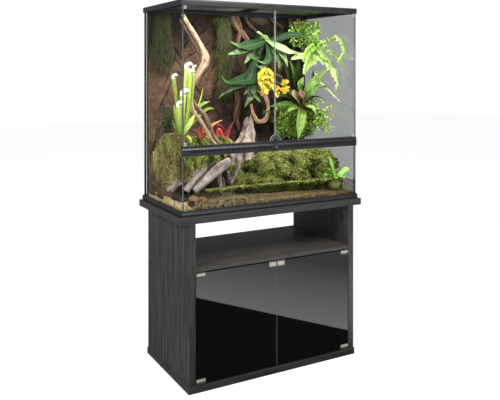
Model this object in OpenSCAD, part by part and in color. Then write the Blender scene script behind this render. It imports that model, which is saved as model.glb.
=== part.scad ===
// Planted glass terrarium on its matching cabinet.
// Millimetres. +X is the viewer's right, +Y the back, +Z up.
// The origin is the middle of the footprint, on the floor.

/* [Cabinet carcass] */
// Width over the two side panels
cab_w = 850; // [820:1:920]
// Depth of the side panels and the shelf, front to back
cab_d = 480; // [470:1:520]
// Height from the floor to the top of the top board
cab_h = 735; // [660:1:800]
// Thickness of the side, top and plinth boards
board_t = 30; // [25:1:34]
// How far the plinth and top stand in front of the side panels
board_proud = 3; // [1:0.5:6]
// How far the top board reaches past each side panel
top_over = 43; // [36:1:60]
// Rounding of the boards' long edges
edge_r = 1.5; // [0.5:0.25:3]
// Thickness of the shelf
shelf_t = 16; // [15:1:22]
// Height of the open bay between the shelf and the top board
bay_h = 187; // [150:1:220]
// Thickness of the back panel
back_t = 3; // [2.5:0.5:5]
// Distance from the rear edge of the sides to the back panel
back_inset = 10; // [7:1:20]
// Depth of the groove that holds the back panel
groove_d = 6; // [5:0.5:9]
// Diameter of a dowel
dowel_d = 8; // [6:1:10]
// Length of a dowel
dowel_l = 30; // [24:1:36]
// Diameter of a cam lock
cam_d = 15; // [12:1:18]
// Depth of a cam lock
cam_t = 12; // [9:1:14]

/* [Cabinet doors] */
// Thickness of the door glass
cdoor_t = 5; // [4:0.5:6]
// Gap between a door and its side panel
cdoor_side_gap = 2; // [1.8:0.1:4]
// Gap between the two doors
cdoor_seam = 2; // [1.5:0.5:4]
// Gap under the doors
cdoor_low_gap = 6; // [5:0.5:9]
// Gap over the doors
cdoor_top_gap = 5; // [4.5:0.5:8]
// Set back of the door glass from the front of the side panels
cdoor_inset = 1; // [0.5:0.5:3]
// Width of a corner clip
clip_w = 44; // [34:1:52]
// Height of a corner clip on the glass
clip_h = 20; // [16:1:30]
// Thickness of a clip's front plate
clip_t = 2; // [1.5:0.25:3]
// Thickness of a clip's back plate and web
clip_back_t = 2.5; // [2:0.25:3.5]
// Distance from the door's outer edge to its pivot
pivot_in = 11; // [9:0.5:12]
// Diameter of a pivot pin
pivot_d = 5; // [4:0.5:6]
// Length of a pivot pin past its clip
pivot_l = 9; // [7:0.5:11]
// Radial running clearance of a pin
run_gap = 0.05; // [0.02:0.01:0.09]
// Outer diameter of a pivot bush
bush_d = 9; // [8:0.5:11]
// Diameter of a bush's flange
flange_d = 13; // [12:0.5:16]
// Width of a strike clip
strike_w = 40; // [30:1:48]
// Height of a strike clip on the glass
strike_h = 27; // [20:1:34]
// Diameter of a clamp screw
screw_d = 4; // [3:0.5:5]

/* [Touch latches] */
// Width of a latch body
latch_w = 19; // [14:1:22]
// Height of a latch body
latch_h = 13; // [12:1:18]
// Length of a latch body
latch_l = 58; // [40:1:80]
// Diameter of the plunger
plunger_d = 8; // [6:0.5:9]
// How far the plunger stands out of its body
plunger_out = 4; // [3.5:0.5:8]
// Distance from the middle of the cabinet to a latch
latch_x = 22; // [20:1:28]

/* [Tank] */
// Width over the side panes
tank_w = 900; // [860:1:960]
// Depth over the back and front panes
tank_d = 450; // [430:1:470]
// Height of the tank with its frames
tank_h = 906; // [880:1:1000]
// Thickness of the panes
glass_t = 5; // [4:0.5:6]
// Height of the base frame
base_h = 25; // [20:1:34]
// How far the base frame reaches past the panes
base_out = 8; // [6:0.5:10]
// Height of the ledge that the panes stand on
ledge_h = 10; // [7:0.5:13]
// Width of that ledge
ledge_w = 22; // [14:1:34]
// Height of the top frame
rim_h = 24; // [22:1:34]
// How far the top frame reaches past the panes
rim_out = 6; // [4:0.5:9]
// Width of the top frame's bars inside the panes
rim_in = 25; // [23:1:34]
// Width of the rear bar inside the back pane
rear_in = 45; // [40:1:60]
// Depth that the panes enter the top frame
rim_grip = 15; // [8:1:16]
// Height of the lower front pane above the tank's foot
front_h = 257; // [200:1:300]
// Leg of a silicone fillet
seam_leg = 4; // [3:0.5:5]

/* [Vent strip] */
// Height of the strip's slotted face
strip_face = 28; // [26:1:34]
// Height from the top of the face to the door sill
sill_h = 14; // [12:1:20]
// How far the face stands in front of the panes
strip_out = 5; // [4:0.5:6]
// Depth of the sill behind the front of the panes
sill_d = 19; // [17:0.5:26]
// Wall of the strip
strip_wall = 2.2; // [1.8:0.1:3]
// Distance between two slots
slot_pitch = 16; // [13:0.5:20]
// Width of a slot
slot_w = 6.5; // [4:0.5:8]
// Height of a slot
slot_h = 9; // [6:0.5:12]
// Lean of a slot, in degrees
slot_lean = 28; // [0:1:40]
// Half of the plain stretch in the middle
slot_free = 16; // [14:1:24]
// Length of the plain block at each end
end_block = 20; // [18:1:26]

/* [Tank doors] */
// Thickness of the door glass
tdoor_t = 4; // [3:0.5:5]
// Set back of the door glass from the front of the panes
tdoor_inset = 1; // [0.5:0.5:2]
// Gap between a door and its side pane
tdoor_side_gap = 2; // [1.8:0.1:3]
// Gap under the doors
tdoor_low_gap = 3; // [2.5:0.5:5]
// Gap over the doors
tdoor_top_gap = 5; // [4:0.5:8]
// Distance from the door's outer edge to its pivot
tpivot_in = 5; // [4.5:0.25:6]
// Diameter of a door pin
tpivot_d = 4; // [3:0.5:5]
// Length of a door pin past its shoe
tpivot_l = 8; // [6:0.5:10]
// Width of a pivot shoe
shoe_w = 13; // [11:0.5:18]
// Height of a pivot shoe on the glass
shoe_h = 12; // [9:0.5:18]
// Wall of a pivot shoe
shoe_wall = 2; // [1.5:0.25:2.25]
// Thickness of an edge seal's lips
seal_lip = 1.2; // [0.8:0.1:1.6]
// Grip of an edge seal on the glass
seal_grip = 3.5; // [2.5:0.5:10]
// Width of a seal past the glass
seal_out = 1.5; // [1:0.25:4]
// Gap between the two edge seals
seal_gap = 1.4; // [1.2:0.1:3]
// Radius of a door handle
handle_r = 27; // [20:1:32]
// Thickness of a handle's plate
handle_t = 3; // [2:0.25:3.5]
// Height of the raised rim of a handle
handle_rim = 2; // [1:0.25:2.5]
// Width of the lock's tongue
lock_w = 16; // [12:1:22]
// Length of the lock's tongue from its axle
lock_l = 25; // [22:1:28]
// Thickness of the lock's plate
lock_t = 3.5; // [2.5:0.25:4.5]
// Diameter of the lock's axle
lock_axle = 5; // [4:0.5:6]

/* [Screen cover] */
// Width of the screen frame's bars
screen_bar = 20; // [16:1:26]
// Height of the screen frame
screen_h = 12; // [9:0.5:13]
// Thickness of the screen mesh
screen_mesh_t = 0.8; // [0.6:0.1:1.2]
// Fit gap around the screen frame
screen_gap = 0.6; // [0.4:0.1:1.2]
// Length of a screen latch from its axle
turn_l = 24; // [18:1:28]
// Width of a screen latch
turn_w = 10; // [8:1:12]
// Thickness of a screen latch
turn_t = 2.8; // [2:0.2:3]
// Diameter of a screen latch's axle
turn_axle = 5; // [4:0.5:6]
// Length of a cable inlet
inlet_l = 38; // [26:1:50]
// Depth of a cable inlet
inlet_d = 22; // [16:1:26]
// Distance from the side of the opening to a cable inlet
inlet_in = 125; // [90:1:160]
// Thickness of a cable gate
gate_t = 2.5; // [2:0.25:3]

/* [Landscape] */
// Height of the gravel above the bottom pane at the right
gravel_low = 18; // [12:1:40]
// Height of the gravel above the bottom pane at the left
gravel_high = 38; // [20:1:60]
// Thickness of the rock background
rock_t = 28; // [22:1:40]
// Deepest hollow in the rock background
rock_relief = 17; // [8:1:20]
// Clearance that planting keeps from what it seats on
seat = 0.3; // [0.2:0.05:0.6]
// Thickness of a leaf at its midrib
leaf_t = 2.4; // [1.6:0.1:4]
// Height of the stump
stump_h = 372; // [300:1:420]
// Radius of the stump's foot
stump_foot = 58; // [48:1:66]
// Radius of the stump's neck
stump_neck = 36; // [28:1:44]
// Radius of the mouth of a pitcher
mouth_r = 11; // [7:0.5:14]
// Length of the floating rosette's leaves
float_leaf = 56; // [34:1:60]

/* [Hidden] */
$fn = 48;
tiny = 0.01;
far = 2000;

// Cabinet places
side_x = cab_w / 2;
side_in = side_x - board_t;
panel_y = cab_d / 2;
board_y = panel_y + board_proud;
top_z0 = cab_h - board_t;
shelf_z1 = top_z0 - bay_h;
shelf_z0 = shelf_z1 - shelf_t;
back_y = panel_y - back_inset;
groove_play = 0.1;
dowel_in = 60;
cam_in = 34;
groove_end = 1;

// Cabinet door places, for the right-hand door
cdoor_x0 = cdoor_seam / 2;
cdoor_x1 = side_in - cdoor_side_gap;
cdoor_z0 = board_t + cdoor_low_gap;
cdoor_z1 = shelf_z0 - cdoor_top_gap;
cdoor_y0 = -panel_y + cdoor_inset;
cdoor_y1 = cdoor_y0 + cdoor_t;
cpivot_x = cdoor_x1 - pivot_in;
cpivot_y = (cdoor_y0 + cdoor_y1) / 2;
thrust_gap = 0.3;
plunger_z = shelf_z0 - latch_h / 2;
strike_back_y = cdoor_y1 + clip_back_t;
plunger_y0 = strike_back_y + thrust_gap;
latch_y0 = plunger_y0 + plunger_out;
plunger_l = 32;

// Tank places
tank_z0 = cab_h;
tank_z1 = tank_z0 + tank_h;
pane_x = tank_w / 2;
pane_in = pane_x - glass_t;
pane_y = tank_d / 2;
pane_y_in = pane_y - glass_t;
pane_z0 = tank_z0 + ledge_h;
floor_z = pane_z0 + glass_t;
rim_z0 = tank_z1 - rim_h;
pane_z1 = rim_z0 + rim_grip;
corner_r = 7;

// Vent strip places
strip_lap = 6;
strip_over = 2;
inner_h = 19;
front_z1 = tank_z0 + front_h;
strip_z0 = front_z1 - strip_lap;
face_z1 = strip_z0 + strip_face;
sill_z = face_z1 + sill_h;
strip_y0 = -pane_y - strip_out;
sill_y1 = -pane_y + sill_d;
slot_drop = 1.2;
slot_z = (front_z1 + strip_wall + face_z1 - slot_drop) / 2;
slot_x0 = slot_free + slot_pitch / 2;
slot_end = 4;
slot_count = floor((pane_in - end_block - slot_end - slot_x0) / slot_pitch) + 1;
lock_drop = 4;
lock_z = face_z1 - lock_drop;
lock_axle_l = 7;

// Tank door places, for the right-hand door
tdoor_y0 = -pane_y + tdoor_inset;
tdoor_y1 = tdoor_y0 + tdoor_t;
tdoor_x1 = pane_in - tdoor_side_gap;
tdoor_x0 = seal_gap / 2 + seal_out;
tdoor_z0 = sill_z + tdoor_low_gap;
tdoor_z1 = rim_z0 - tdoor_top_gap;
tpivot_x = tdoor_x1 - tpivot_in;
tpivot_y = (tdoor_y0 + tdoor_y1) / 2;

// Screen places
open_x = pane_x - rim_in;
open_y0 = -pane_y + rim_in;
open_y1 = pane_y - rear_in;
screen_x = open_x - screen_gap;
screen_y0 = open_y0 + screen_gap;
screen_y1 = open_y1 - screen_gap;
latch_pocket = 3.6;
screen_z1 = tank_z1 - latch_pocket - 0.3;
screen_z0 = screen_z1 - screen_h;
mesh_z = screen_z0 + screen_h / 2;
screen_ledge = 8;
turn_x = open_x + 12;
turn_y = -10;
gate_x = open_x - inlet_in;
gate_y = (open_y1 + pane_y_in) / 2 - 1;
gate_z = tank_z1 - gate_t - 0.6;
gate_over = 4;

// Landscape places
wall_gap = 4.5;
rock_top_gap = 7;
soil_x = pane_in - wall_gap;
soil_y0 = -pane_y_in + wall_gap;
rock_y1 = pane_y_in - wall_gap;
rock_y = rock_y1 - rock_t;
rock_z1 = rim_z0 - rock_top_gap;
gravel_z0 = floor_z + gravel_low;
gravel_z1 = floor_z + gravel_high;
grow_y = rock_y - seat;

// ---------- shared shapes ----------

// A box given by its two corners
module span(a, b) {
    translate(a) cube(b - a);
}

// A rounded rectangle in the plane, centred
module round_rect(w, d, r) {
    square([w - 2 * r, d], center = true);
    square([w, d - 2 * r], center = true);
    for (x = [-1, 1], y = [-1, 1])
        translate([x * (w / 2 - r), y * (d / 2 - r)]) circle(r);
}

// A board lying flat, centred in plan, with its long edges eased
module flat_board(w, d, z, t, r) {
    intersection() {
        translate([0, 0, z + t / 2]) rotate([90, 0, 90])
            linear_extrude(w, center = true) round_rect(d, t, r);
        translate([0, 0, z + t / 2]) rotate([90, 0, 0])
            linear_extrude(d, center = true) round_rect(w, t, r);
    }
}

// The right half of a pair, or its mirror image
module at_side(s) {
    if (s > 0) children();
    else mirror([1, 0, 0]) children();
}

// A band profile given as [outset, height], closed about a middle line
function band(p, half) = concat(
    [for (q = p) [half + q[0], q[1]]],
    [for (i = [len(p) - 1 : -1 : 0]) [-half - p[i][0], p[i][1]]]);

// A moulded rectangular frame whose four sides share one profile
module moulded(p, w, d, out) {
    intersection() {
        rotate([90, 0, 0]) linear_extrude(d + 4 * out, center = true)
            polygon(band(p, w / 2));
        rotate([90, 0, 90]) linear_extrude(w + 4 * out, center = true)
            polygon(band(p, d / 2));
        linear_extrude(far) round_rect(w + 2 * out, d + 2 * out, corner_r);
    }
}

// A clip of nickel that folds round the edge of a glass door.
// It grips h of glass below z1 and its plates are as wide as x0 to x1.
module fold_clip(x0, x1, z1, h) {
    frame = 3;
    sunk = 0.5;
    difference() {
        span([x0, cdoor_y0 - clip_t, z1 - h], [x1, strike_back_y, z1 + clip_back_t]);
        span([x0 - 1, cdoor_y0, z1 - h - 1], [x1 + 1, cdoor_y1, z1]);
        span([x0 + frame, cdoor_y0 - clip_t - 1, z1 - h + frame],
            [x1 - frame, cdoor_y0 - clip_t + sunk, z1 + clip_back_t - frame]);
    }
}

// Mirror in the horizontal plane through z
module flipped(z) {
    translate([0, 0, 2 * z]) mirror([0, 0, 1]) children();
}

// ---------- growing shapes ----------

function unit(v) = v / norm(v);

// A smooth curve through the points p, at t from 0 to len(p) - 1
function curve(p, t) = let (
    n = len(p) - 1,
    i = min(floor(t), n - 1),
    u = t - i,
    a = p[max(i - 1, 0)],
    b = p[i],
    c = p[i + 1],
    d = p[min(i + 2, n)])
    0.5 * (2 * b + (c - a) * u + (2 * a - 5 * b + 4 * c - d) * u * u
        + (3 * b - a - 3 * c + d) * u * u * u);

function route(p, steps) = [for (k = [0 : steps]) curve(p, k / steps * (len(p) - 1))];

function along(p, i) = unit(p[min(i + 1, len(p) - 1)] - p[max(i - 1, 0)]);

// One ring of a sweep about p, with t along it and side across it
function ring(p, t, side, w, h, n) = let (
    s = unit(side - (side * t) * t),
    u = cross(s, t))
    [for (k = [0 : n - 1]) p + s * w * cos(360 * k / n) + u * h * sin(360 * k / n)];

// A closed tube or blade along path, with half widths and half heights
module sweep(path, wide, high, n, side) {
    last = len(path) - 1;
    points = [for (i = [0 : last]) each
        ring(path[i], along(path, i), side, wide[i], high[i], n)];
    walls = [for (i = [0 : last - 1], k = [0 : n - 1]) each
        let (a = i * n + k, b = i * n + (k + 1) % n, c = a + n, d = b + n)
        [[a, b, d], [a, d, c]]];
    start = [for (k = [1 : n - 2]) [0, k + 1, k]];
    end = [for (k = [1 : n - 2]) [last * n, last * n + k, last * n + k + 1]];
    polyhedron(points, concat(walls, start, end));
}

// A closed body under a grid of points, down to the plane z = low
module ground(grid, low) {
    rows = len(grid);
    cols = len(grid[0]);
    top = [for (r = grid) each r];
    rim = concat(
        [for (c = [0 : cols - 1]) c],
        [for (r = [1 : rows - 1]) r * cols + cols - 1],
        [for (c = [cols - 2 : -1 : 0]) (rows - 1) * cols + c],
        [for (r = [rows - 2 : -1 : 1]) r * cols]);
    m = len(rim);
    base = len(top);
    foot = [for (i = rim) [top[i][0], top[i][1], low]];
    mid = (top[0] + top[base - 1] + top[cols - 1] + top[base - cols]) / 4;
    hub = [mid[0], mid[1], low];
    skin = [for (r = [0 : rows - 2], c = [0 : cols - 2]) each
        let (a = r * cols + c, b = a + 1, d = a + cols, e = d + 1)
        [[a, e, b], [a, d, e]]];
    walls = [for (i = [0 : m - 1]) each
        let (j = (i + 1) % m) [[rim[i], rim[j], base + j], [rim[i], base + j, base + i]]];
    bottom = [for (i = [0 : m - 1]) [base + i, base + (i + 1) % m, base + m]];
    polyhedron(concat(top, foot, [hub]), concat(skin, walls, bottom));
}

// A long leaf from p: az its compass, rise its slope, bend how far it droops
module strap(p, az, length, rise, bend, width, steps = 5, tip = 0.6) {
    path = [for (k = [0 : steps]) let (t = k / steps)
        p + length * [cos(az) * (cos(rise) * t + 0.12 * t * t),
            sin(az) * (cos(rise) * t + 0.12 * t * t),
            sin(rise) * t - bend * t * t]];
    wide = [for (k = [0 : steps]) let (t = k / steps)
        max(tip, width / 2 * sin(180 * (0.2 + 0.78 * t)))];
    high = [for (k = [0 : steps]) leaf_t / 2 * (1 - 0.7 * k / steps)];
    sweep(path, wide, high, 4, [-sin(az), cos(az), 0]);
}

// The sheathed crown that a plant's leaves grow from
module crown(p, r) {
    for (k = [0 : 7]) hull() {
        translate(p) sphere(r * 0.7, $fn = 4);
        translate(p + r * [0.5 * cos(45 * k), 0.5 * sin(45 * k), 0.5])
            sphere(r * 0.4, $fn = 4);
    }
}

// A rosette of straps about a crown, fanned over a sector of the compass
module rosette(p, count, length, rise, bend, width, from = 0, fan = 360, steps = 4) {
    crown(p, width * 0.6);
    for (k = [0 : count - 1]) {
        ringed = k % 3;
        strap(p + [0, 0, width * 0.2], from + (k * 0.382 * fan) % fan,
            length * (1 - 0.16 * ringed), rise + 17 * ringed, bend, width, steps);
    }
}

// A peg by which a plant is held on the rock background
module peg(p, r) {
    translate([p[0], grow_y, p[2]]) rotate([90, 0, 0])
        cylinder(h = grow_y - p[1], r = r, $fn = 8);
}

// ---------- cabinet ----------

// Places of the dowels and the cam locks, front to back
dowel_ys = [-panel_y + dowel_in, 0, panel_y - dowel_in];
cam_ys = [-panel_y + cam_in, panel_y - cam_in];
cam_zs = [board_t + cam_in, top_z0 - cam_in];

module dowel_holes() {
    for (s = [-1, 1], y = dowel_ys) {
        translate([s * (side_in + board_t / 2), y, board_t]) dowel([0, 0, 1]);
        translate([s * (side_in + board_t / 2), y, top_z0]) dowel([0, 0, 1]);
        translate([s * side_in, y, (shelf_z0 + shelf_z1) / 2]) dowel([1, 0, 0]);
    }
}

module dowel(axis) {
    rotate(axis[0] > 0 ? [0, 90, 0] : [0, 0, 0])
        cylinder(h = dowel_l, d = dowel_d, center = true);
}

module cam_places() {
    for (s = [-1, 1], y = cam_ys, z = cam_zs)
        translate([s * (side_in + cam_t / 2), y, z]) rotate([0, 90, 0])
            cylinder(h = cam_t, d = cam_d, center = true);
}

module bush_places(extra) {
    for (s = [-1, 1]) {
        translate([s * cpivot_x, cpivot_y, board_t - pivot_l - 1])
            cylinder(h = pivot_l + 1 + extra, d = bush_d);
        translate([s * cpivot_x, cpivot_y, shelf_z0 - extra])
            cylinder(h = pivot_l + 1 + extra, d = bush_d);
    }
}

module back_groove() {
    span([-side_in - groove_d, back_y - back_t - groove_play, board_t - groove_d],
        [side_in + groove_d, back_y + groove_play, shelf_z0 + groove_d]);
}

module plinth() color([0.10, 0.09, 0.09]) difference() {
    flat_board(cab_w + 2 * board_proud, 2 * board_y, 0, board_t, edge_r);
    dowel_holes();
    bush_places(1);
    back_groove();
}

module side_panel(s) {
    difference() {
        translate([s * (side_in + board_t / 2), 0, board_t])
            linear_extrude(top_z0 - board_t) round_rect(board_t, cab_d, edge_r);
        dowel_holes();
        cam_places();
        back_groove();
    }
}

module side_panel_left() color([0.12, 0.11, 0.11]) side_panel(-1);

module side_panel_right() color([0.12, 0.11, 0.11]) side_panel(1);

module shelf() color([0.13, 0.12, 0.11]) difference() {
    translate([0, 0, (shelf_z0 + shelf_z1) / 2]) rotate([90, 0, 90])
        linear_extrude(2 * side_in, center = true) round_rect(cab_d, shelf_t, edge_r);
    dowel_holes();
    bush_places(1);
    back_groove();
}

module top_board() color([0.12, 0.11, 0.11]) difference() {
    flat_board(cab_w + 2 * top_over, 2 * board_y, top_z0, board_t, edge_r);
    dowel_holes();
}

module back_panel() color([0.10, 0.10, 0.10]) {
    reach = groove_d - groove_end;
    span([-side_in - reach, back_y - back_t, board_t - reach],
        [side_in + reach, back_y, shelf_z0 + reach]);
}

module board_dowels() color([0.75, 0.6, 0.4]) dowel_holes();

module cam_locks() color([0.55, 0.55, 0.57]) difference() {
    cross_l = cam_d * 0.6;
    cross_w = 1.6;
    cross_t = 4;
    cam_places();
    for (s = [-1, 1], y = cam_ys, z = cam_zs)
        translate([s * side_in, y, z]) {
            cube([cross_t, cross_l, cross_w], center = true);
            cube([cross_t, cross_w, cross_l], center = true);
        }
}

module pivot_bushes() color([0.15, 0.15, 0.16]) {
    low_flange = cdoor_low_gap - clip_back_t - thrust_gap;
    top_flange = 1.2;
    flange = min(flange_d, 2 * (pivot_in + cdoor_side_gap));
    difference() {
        union() {
            bush_places(0);
            for (s = [-1, 1]) {
                translate([s * cpivot_x, cpivot_y, board_t])
                    cylinder(h = low_flange, d = flange);
                translate([s * cpivot_x, cpivot_y, shelf_z0 - top_flange])
                    cylinder(h = top_flange, d = flange);
            }
        }
        for (s = [-1, 1]) {
            translate([s * cpivot_x, cpivot_y, board_t - pivot_l])
                cylinder(h = pivot_l + low_flange + 1, r = pivot_d / 2 + run_gap);
            translate([s * cpivot_x, cpivot_y, shelf_z0 - top_flange - 1])
                cylinder(h = pivot_l + top_flange + 1, r = pivot_d / 2 + run_gap);
        }
    }
}

module cabinet_door(s) at_side(s) {
    translate([(cdoor_x0 + cdoor_x1) / 2, cdoor_y1, (cdoor_z0 + cdoor_z1) / 2])
        rotate([90, 0, 0]) linear_extrude(cdoor_t)
        round_rect(cdoor_x1 - cdoor_x0, cdoor_z1 - cdoor_z0, 1.5);
}

module cabinet_door_left() color([0.02, 0.02, 0.03]) cabinet_door(-1);

module cabinet_door_right() color([0.02, 0.02, 0.03]) cabinet_door(1);

// Distance of a clamp screw from the end and from the middle of its clip
screw_in = 6;
screw_spread = clip_w / 2 - screw_in;

module corner_clip(z1) difference() {
    union() {
        fold_clip(cdoor_x1 - clip_w, cdoor_x1, z1, clip_h);
        translate([cpivot_x, cpivot_y, z1 + clip_back_t])
            cylinder(h = cdoor_top_gap - clip_back_t + pivot_l - 1, d = pivot_d);
    }
    clamp_screws(z1);
}

module clamp_screws(z1) {
    for (k = [-1, 1])
        translate([cdoor_x1 - clip_w / 2 + k * screw_spread, cdoor_y1, z1 - clip_h / 2])
            rotate([-90, 0, 0]) cylinder(h = clip_back_t + 1.5, d = screw_d);
}

module corner_clips(s) at_side(s) {
    corner_clip(cdoor_z1);
    flipped((cdoor_z0 + cdoor_z1) / 2) lower_clip();
}

// The lower clip's pin is longer by the difference of the two gaps
module lower_clip() difference() {
    union() {
        fold_clip(cdoor_x1 - clip_w, cdoor_x1, cdoor_z1, clip_h);
        translate([cpivot_x, cpivot_y, cdoor_z1 + clip_back_t])
            cylinder(h = cdoor_low_gap - clip_back_t + pivot_l - 1, d = pivot_d);
    }
    clamp_screws(cdoor_z1);
}

module corner_clips_left() color([0.80, 0.78, 0.70]) corner_clips(-1);

module corner_clips_right() color([0.80, 0.78, 0.70]) corner_clips(1);

module clip_screws(s) at_side(s) {
    clamp_screws(cdoor_z1);
    flipped((cdoor_z0 + cdoor_z1) / 2) clamp_screws(cdoor_z1);
}

module clip_screws_left() color([0.6, 0.6, 0.6]) clip_screws(-1);

module clip_screws_right() color([0.6, 0.6, 0.6]) clip_screws(1);

module strike_clip(s) at_side(s)
    fold_clip(cdoor_x0, cdoor_x0 + strike_w, cdoor_z1, strike_h);

module strike_clip_left() color([0.80, 0.78, 0.70]) strike_clip(-1);

module strike_clip_right() color([0.80, 0.78, 0.70]) strike_clip(1);

module touch_latches() color([0.14, 0.14, 0.15]) for (s = [-1, 1]) difference() {
    span([s * latch_x - latch_w / 2, latch_y0, shelf_z0 - latch_h],
        [s * latch_x + latch_w / 2, latch_y0 + latch_l, shelf_z0]);
    translate([s * latch_x, latch_y0 - 1, plunger_z]) rotate([-90, 0, 0])
        cylinder(h = plunger_l + 6, r = plunger_d / 2 + run_gap);
}

module latch_plunger(s) translate([s * latch_x, plunger_y0, plunger_z])
    rotate([-90, 0, 0]) {
        cylinder(h = plunger_l, d = plunger_d);
    }

module latch_plunger_left() color([0.85, 0.85, 0.83]) latch_plunger(-1);

module latch_plunger_right() color([0.85, 0.85, 0.83]) latch_plunger(1);

// ---------- tank ----------

module base_frame() color([0.05, 0.05, 0.055]) difference() {
    moulded([[base_out - 3.5, tank_z0], [base_out - 3.5, tank_z0 + 2.5],
        [base_out - 1, tank_z0 + 3.5], [base_out, tank_z0 + 6],
        [base_out, tank_z0 + base_h * 0.45], [base_out - 1.2, tank_z0 + base_h * 0.52],
        [base_out - 1.2, tank_z0 + base_h * 0.56], [base_out - 0.6, tank_z0 + base_h * 0.62],
        [base_out - 2.2, tank_z0 + base_h * 0.82], [1.4, tank_z0 + base_h - 1],
        [1.4, tank_z0 + base_h]], tank_w, tank_d, base_out);
    span([-pane_x, -pane_y, pane_z0], [pane_x, pane_y, tank_z0 + base_h + 1]);
    span([-pane_x + ledge_w, -pane_y + ledge_w, tank_z0 - 1],
        [pane_x - ledge_w, pane_y - ledge_w, tank_z0 + base_h]);
}

module glass_bottom() color([0.7, 0.8, 0.78, 0.4])
    span([-pane_in, -pane_y_in, pane_z0], [pane_in, pane_y_in, floor_z]);

module side_pane(s) at_side(s)
    span([pane_in, -pane_y, pane_z0], [pane_x, pane_y, pane_z1]);

module glass_left() color([0.7, 0.8, 0.78, 0.4]) side_pane(-1);

module glass_right() color([0.7, 0.8, 0.78, 0.4]) side_pane(1);

module glass_back() color([0.7, 0.8, 0.78, 0.4])
    span([-pane_in, pane_y_in, pane_z0], [pane_in, pane_y, pane_z1]);

module glass_front() color([0.7, 0.8, 0.78, 0.4])
    span([-pane_in, -pane_y, pane_z0], [pane_in, -pane_y_in, front_z1]);

module fillet(length, a) rotate(a) linear_extrude(length)
    polygon([[0, 0], [seam_leg, 0], [0, seam_leg]]);

module silicone_seams() color([0.06, 0.06, 0.06]) for (s = [-1, 1]) at_side(s) {
    translate([pane_in, pane_y_in, floor_z]) fillet(rim_z0 - floor_z, [0, 0, 180]);
    translate([pane_in, -pane_y_in, floor_z]) fillet(strip_z0 - floor_z - seat, [0, 0, 90]);
    translate([pane_in, pane_y_in, floor_z]) rotate([90, 0, 0]) mirror([1, 0, 0])
        fillet(2 * pane_y_in, 0);
    translate([0, pane_y_in, floor_z]) rotate([90, 0, 90])
        mirror([1, 0, 0]) fillet(pane_in, 0);
    translate([0, -pane_y_in, floor_z]) rotate([90, 0, 90]) fillet(pane_in, 0);
}

// The strip's outline seen from its end, as [depth, height]
strip_skin = [[strip_y0, strip_z0 + 1.5], [strip_y0, face_z1 - 1.5],
    [strip_y0 + 0.8, face_z1], [-pane_y - 2, face_z1 + 4], [-pane_y - 2, sill_z - 0.8],
    [-pane_y - 1.2, sill_z], [sill_y1, sill_z], [sill_y1, strip_z0 + inner_h],
    [-pane_y_in + strip_wall, strip_z0 + inner_h], [-pane_y_in + strip_wall, strip_z0],
    [strip_y0 + 1.2, strip_z0]];

// The hollow inside it, open at the back
strip_hollow = [[strip_y0 + strip_wall, front_z1 + strip_wall],
    [strip_y0 + strip_wall, face_z1 - 1.5], [-pane_y + 0.6, face_z1 + 4],
    [-pane_y + 0.6, sill_z - strip_wall], [sill_y1 - strip_wall, sill_z - strip_wall],
    [sill_y1 - strip_wall, strip_z0 + inner_h - 1], [sill_y1 - strip_wall, front_z1 + strip_wall]];

// Turns [depth, height] outlines into bars along X, from x0 to x1
module bar_x(x0, x1) translate([x0, 0, 0]) rotate([90, 0, 90])
    linear_extrude(x1 - x0) children();

module vent_strip() color([0.05, 0.05, 0.055]) difference() {
    bar_x(-pane_x - strip_over, pane_x + strip_over) polygon(strip_skin);
    for (s = [-1, 1]) at_side(s) {
        span([pane_in, -pane_y, strip_z0 - 1], [pane_x + strip_over + 1, 0, sill_z + 1]);
        bar_x(slot_free - 3, pane_in - end_block) polygon(strip_hollow);
        for (k = [0 : slot_count - 1])
            translate([slot_x0 + k * slot_pitch, strip_y0 - 1, slot_z])
                rotate([0, slot_lean, 0])
                translate([-slot_w / 2, 0, -slot_h / 2])
                cube([slot_w, strip_wall + 2, slot_h]);
        translate([tpivot_x, tpivot_y, sill_z - tpivot_l - 1])
            cylinder(h = tpivot_l + 2, r = tpivot_d / 2 + run_gap);
    }
    span([-pane_in, -pane_y, strip_z0 - 1], [pane_in, -pane_y_in, front_z1]);
    translate([0, strip_y0 - 1, lock_z]) rotate([-90, 0, 0])
        cylinder(h = lock_axle_l + 2, r = lock_axle / 2 + run_gap);
}

module vent_mesh() color([0.3, 0.3, 0.3]) for (s = [-1, 1]) at_side(s)
    span([slot_free - 3, strip_y0 + strip_wall, front_z1 + strip_wall],
        [pane_in - end_block, strip_y0 + strip_wall + 0.6, face_z1 - 2.5]);

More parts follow.
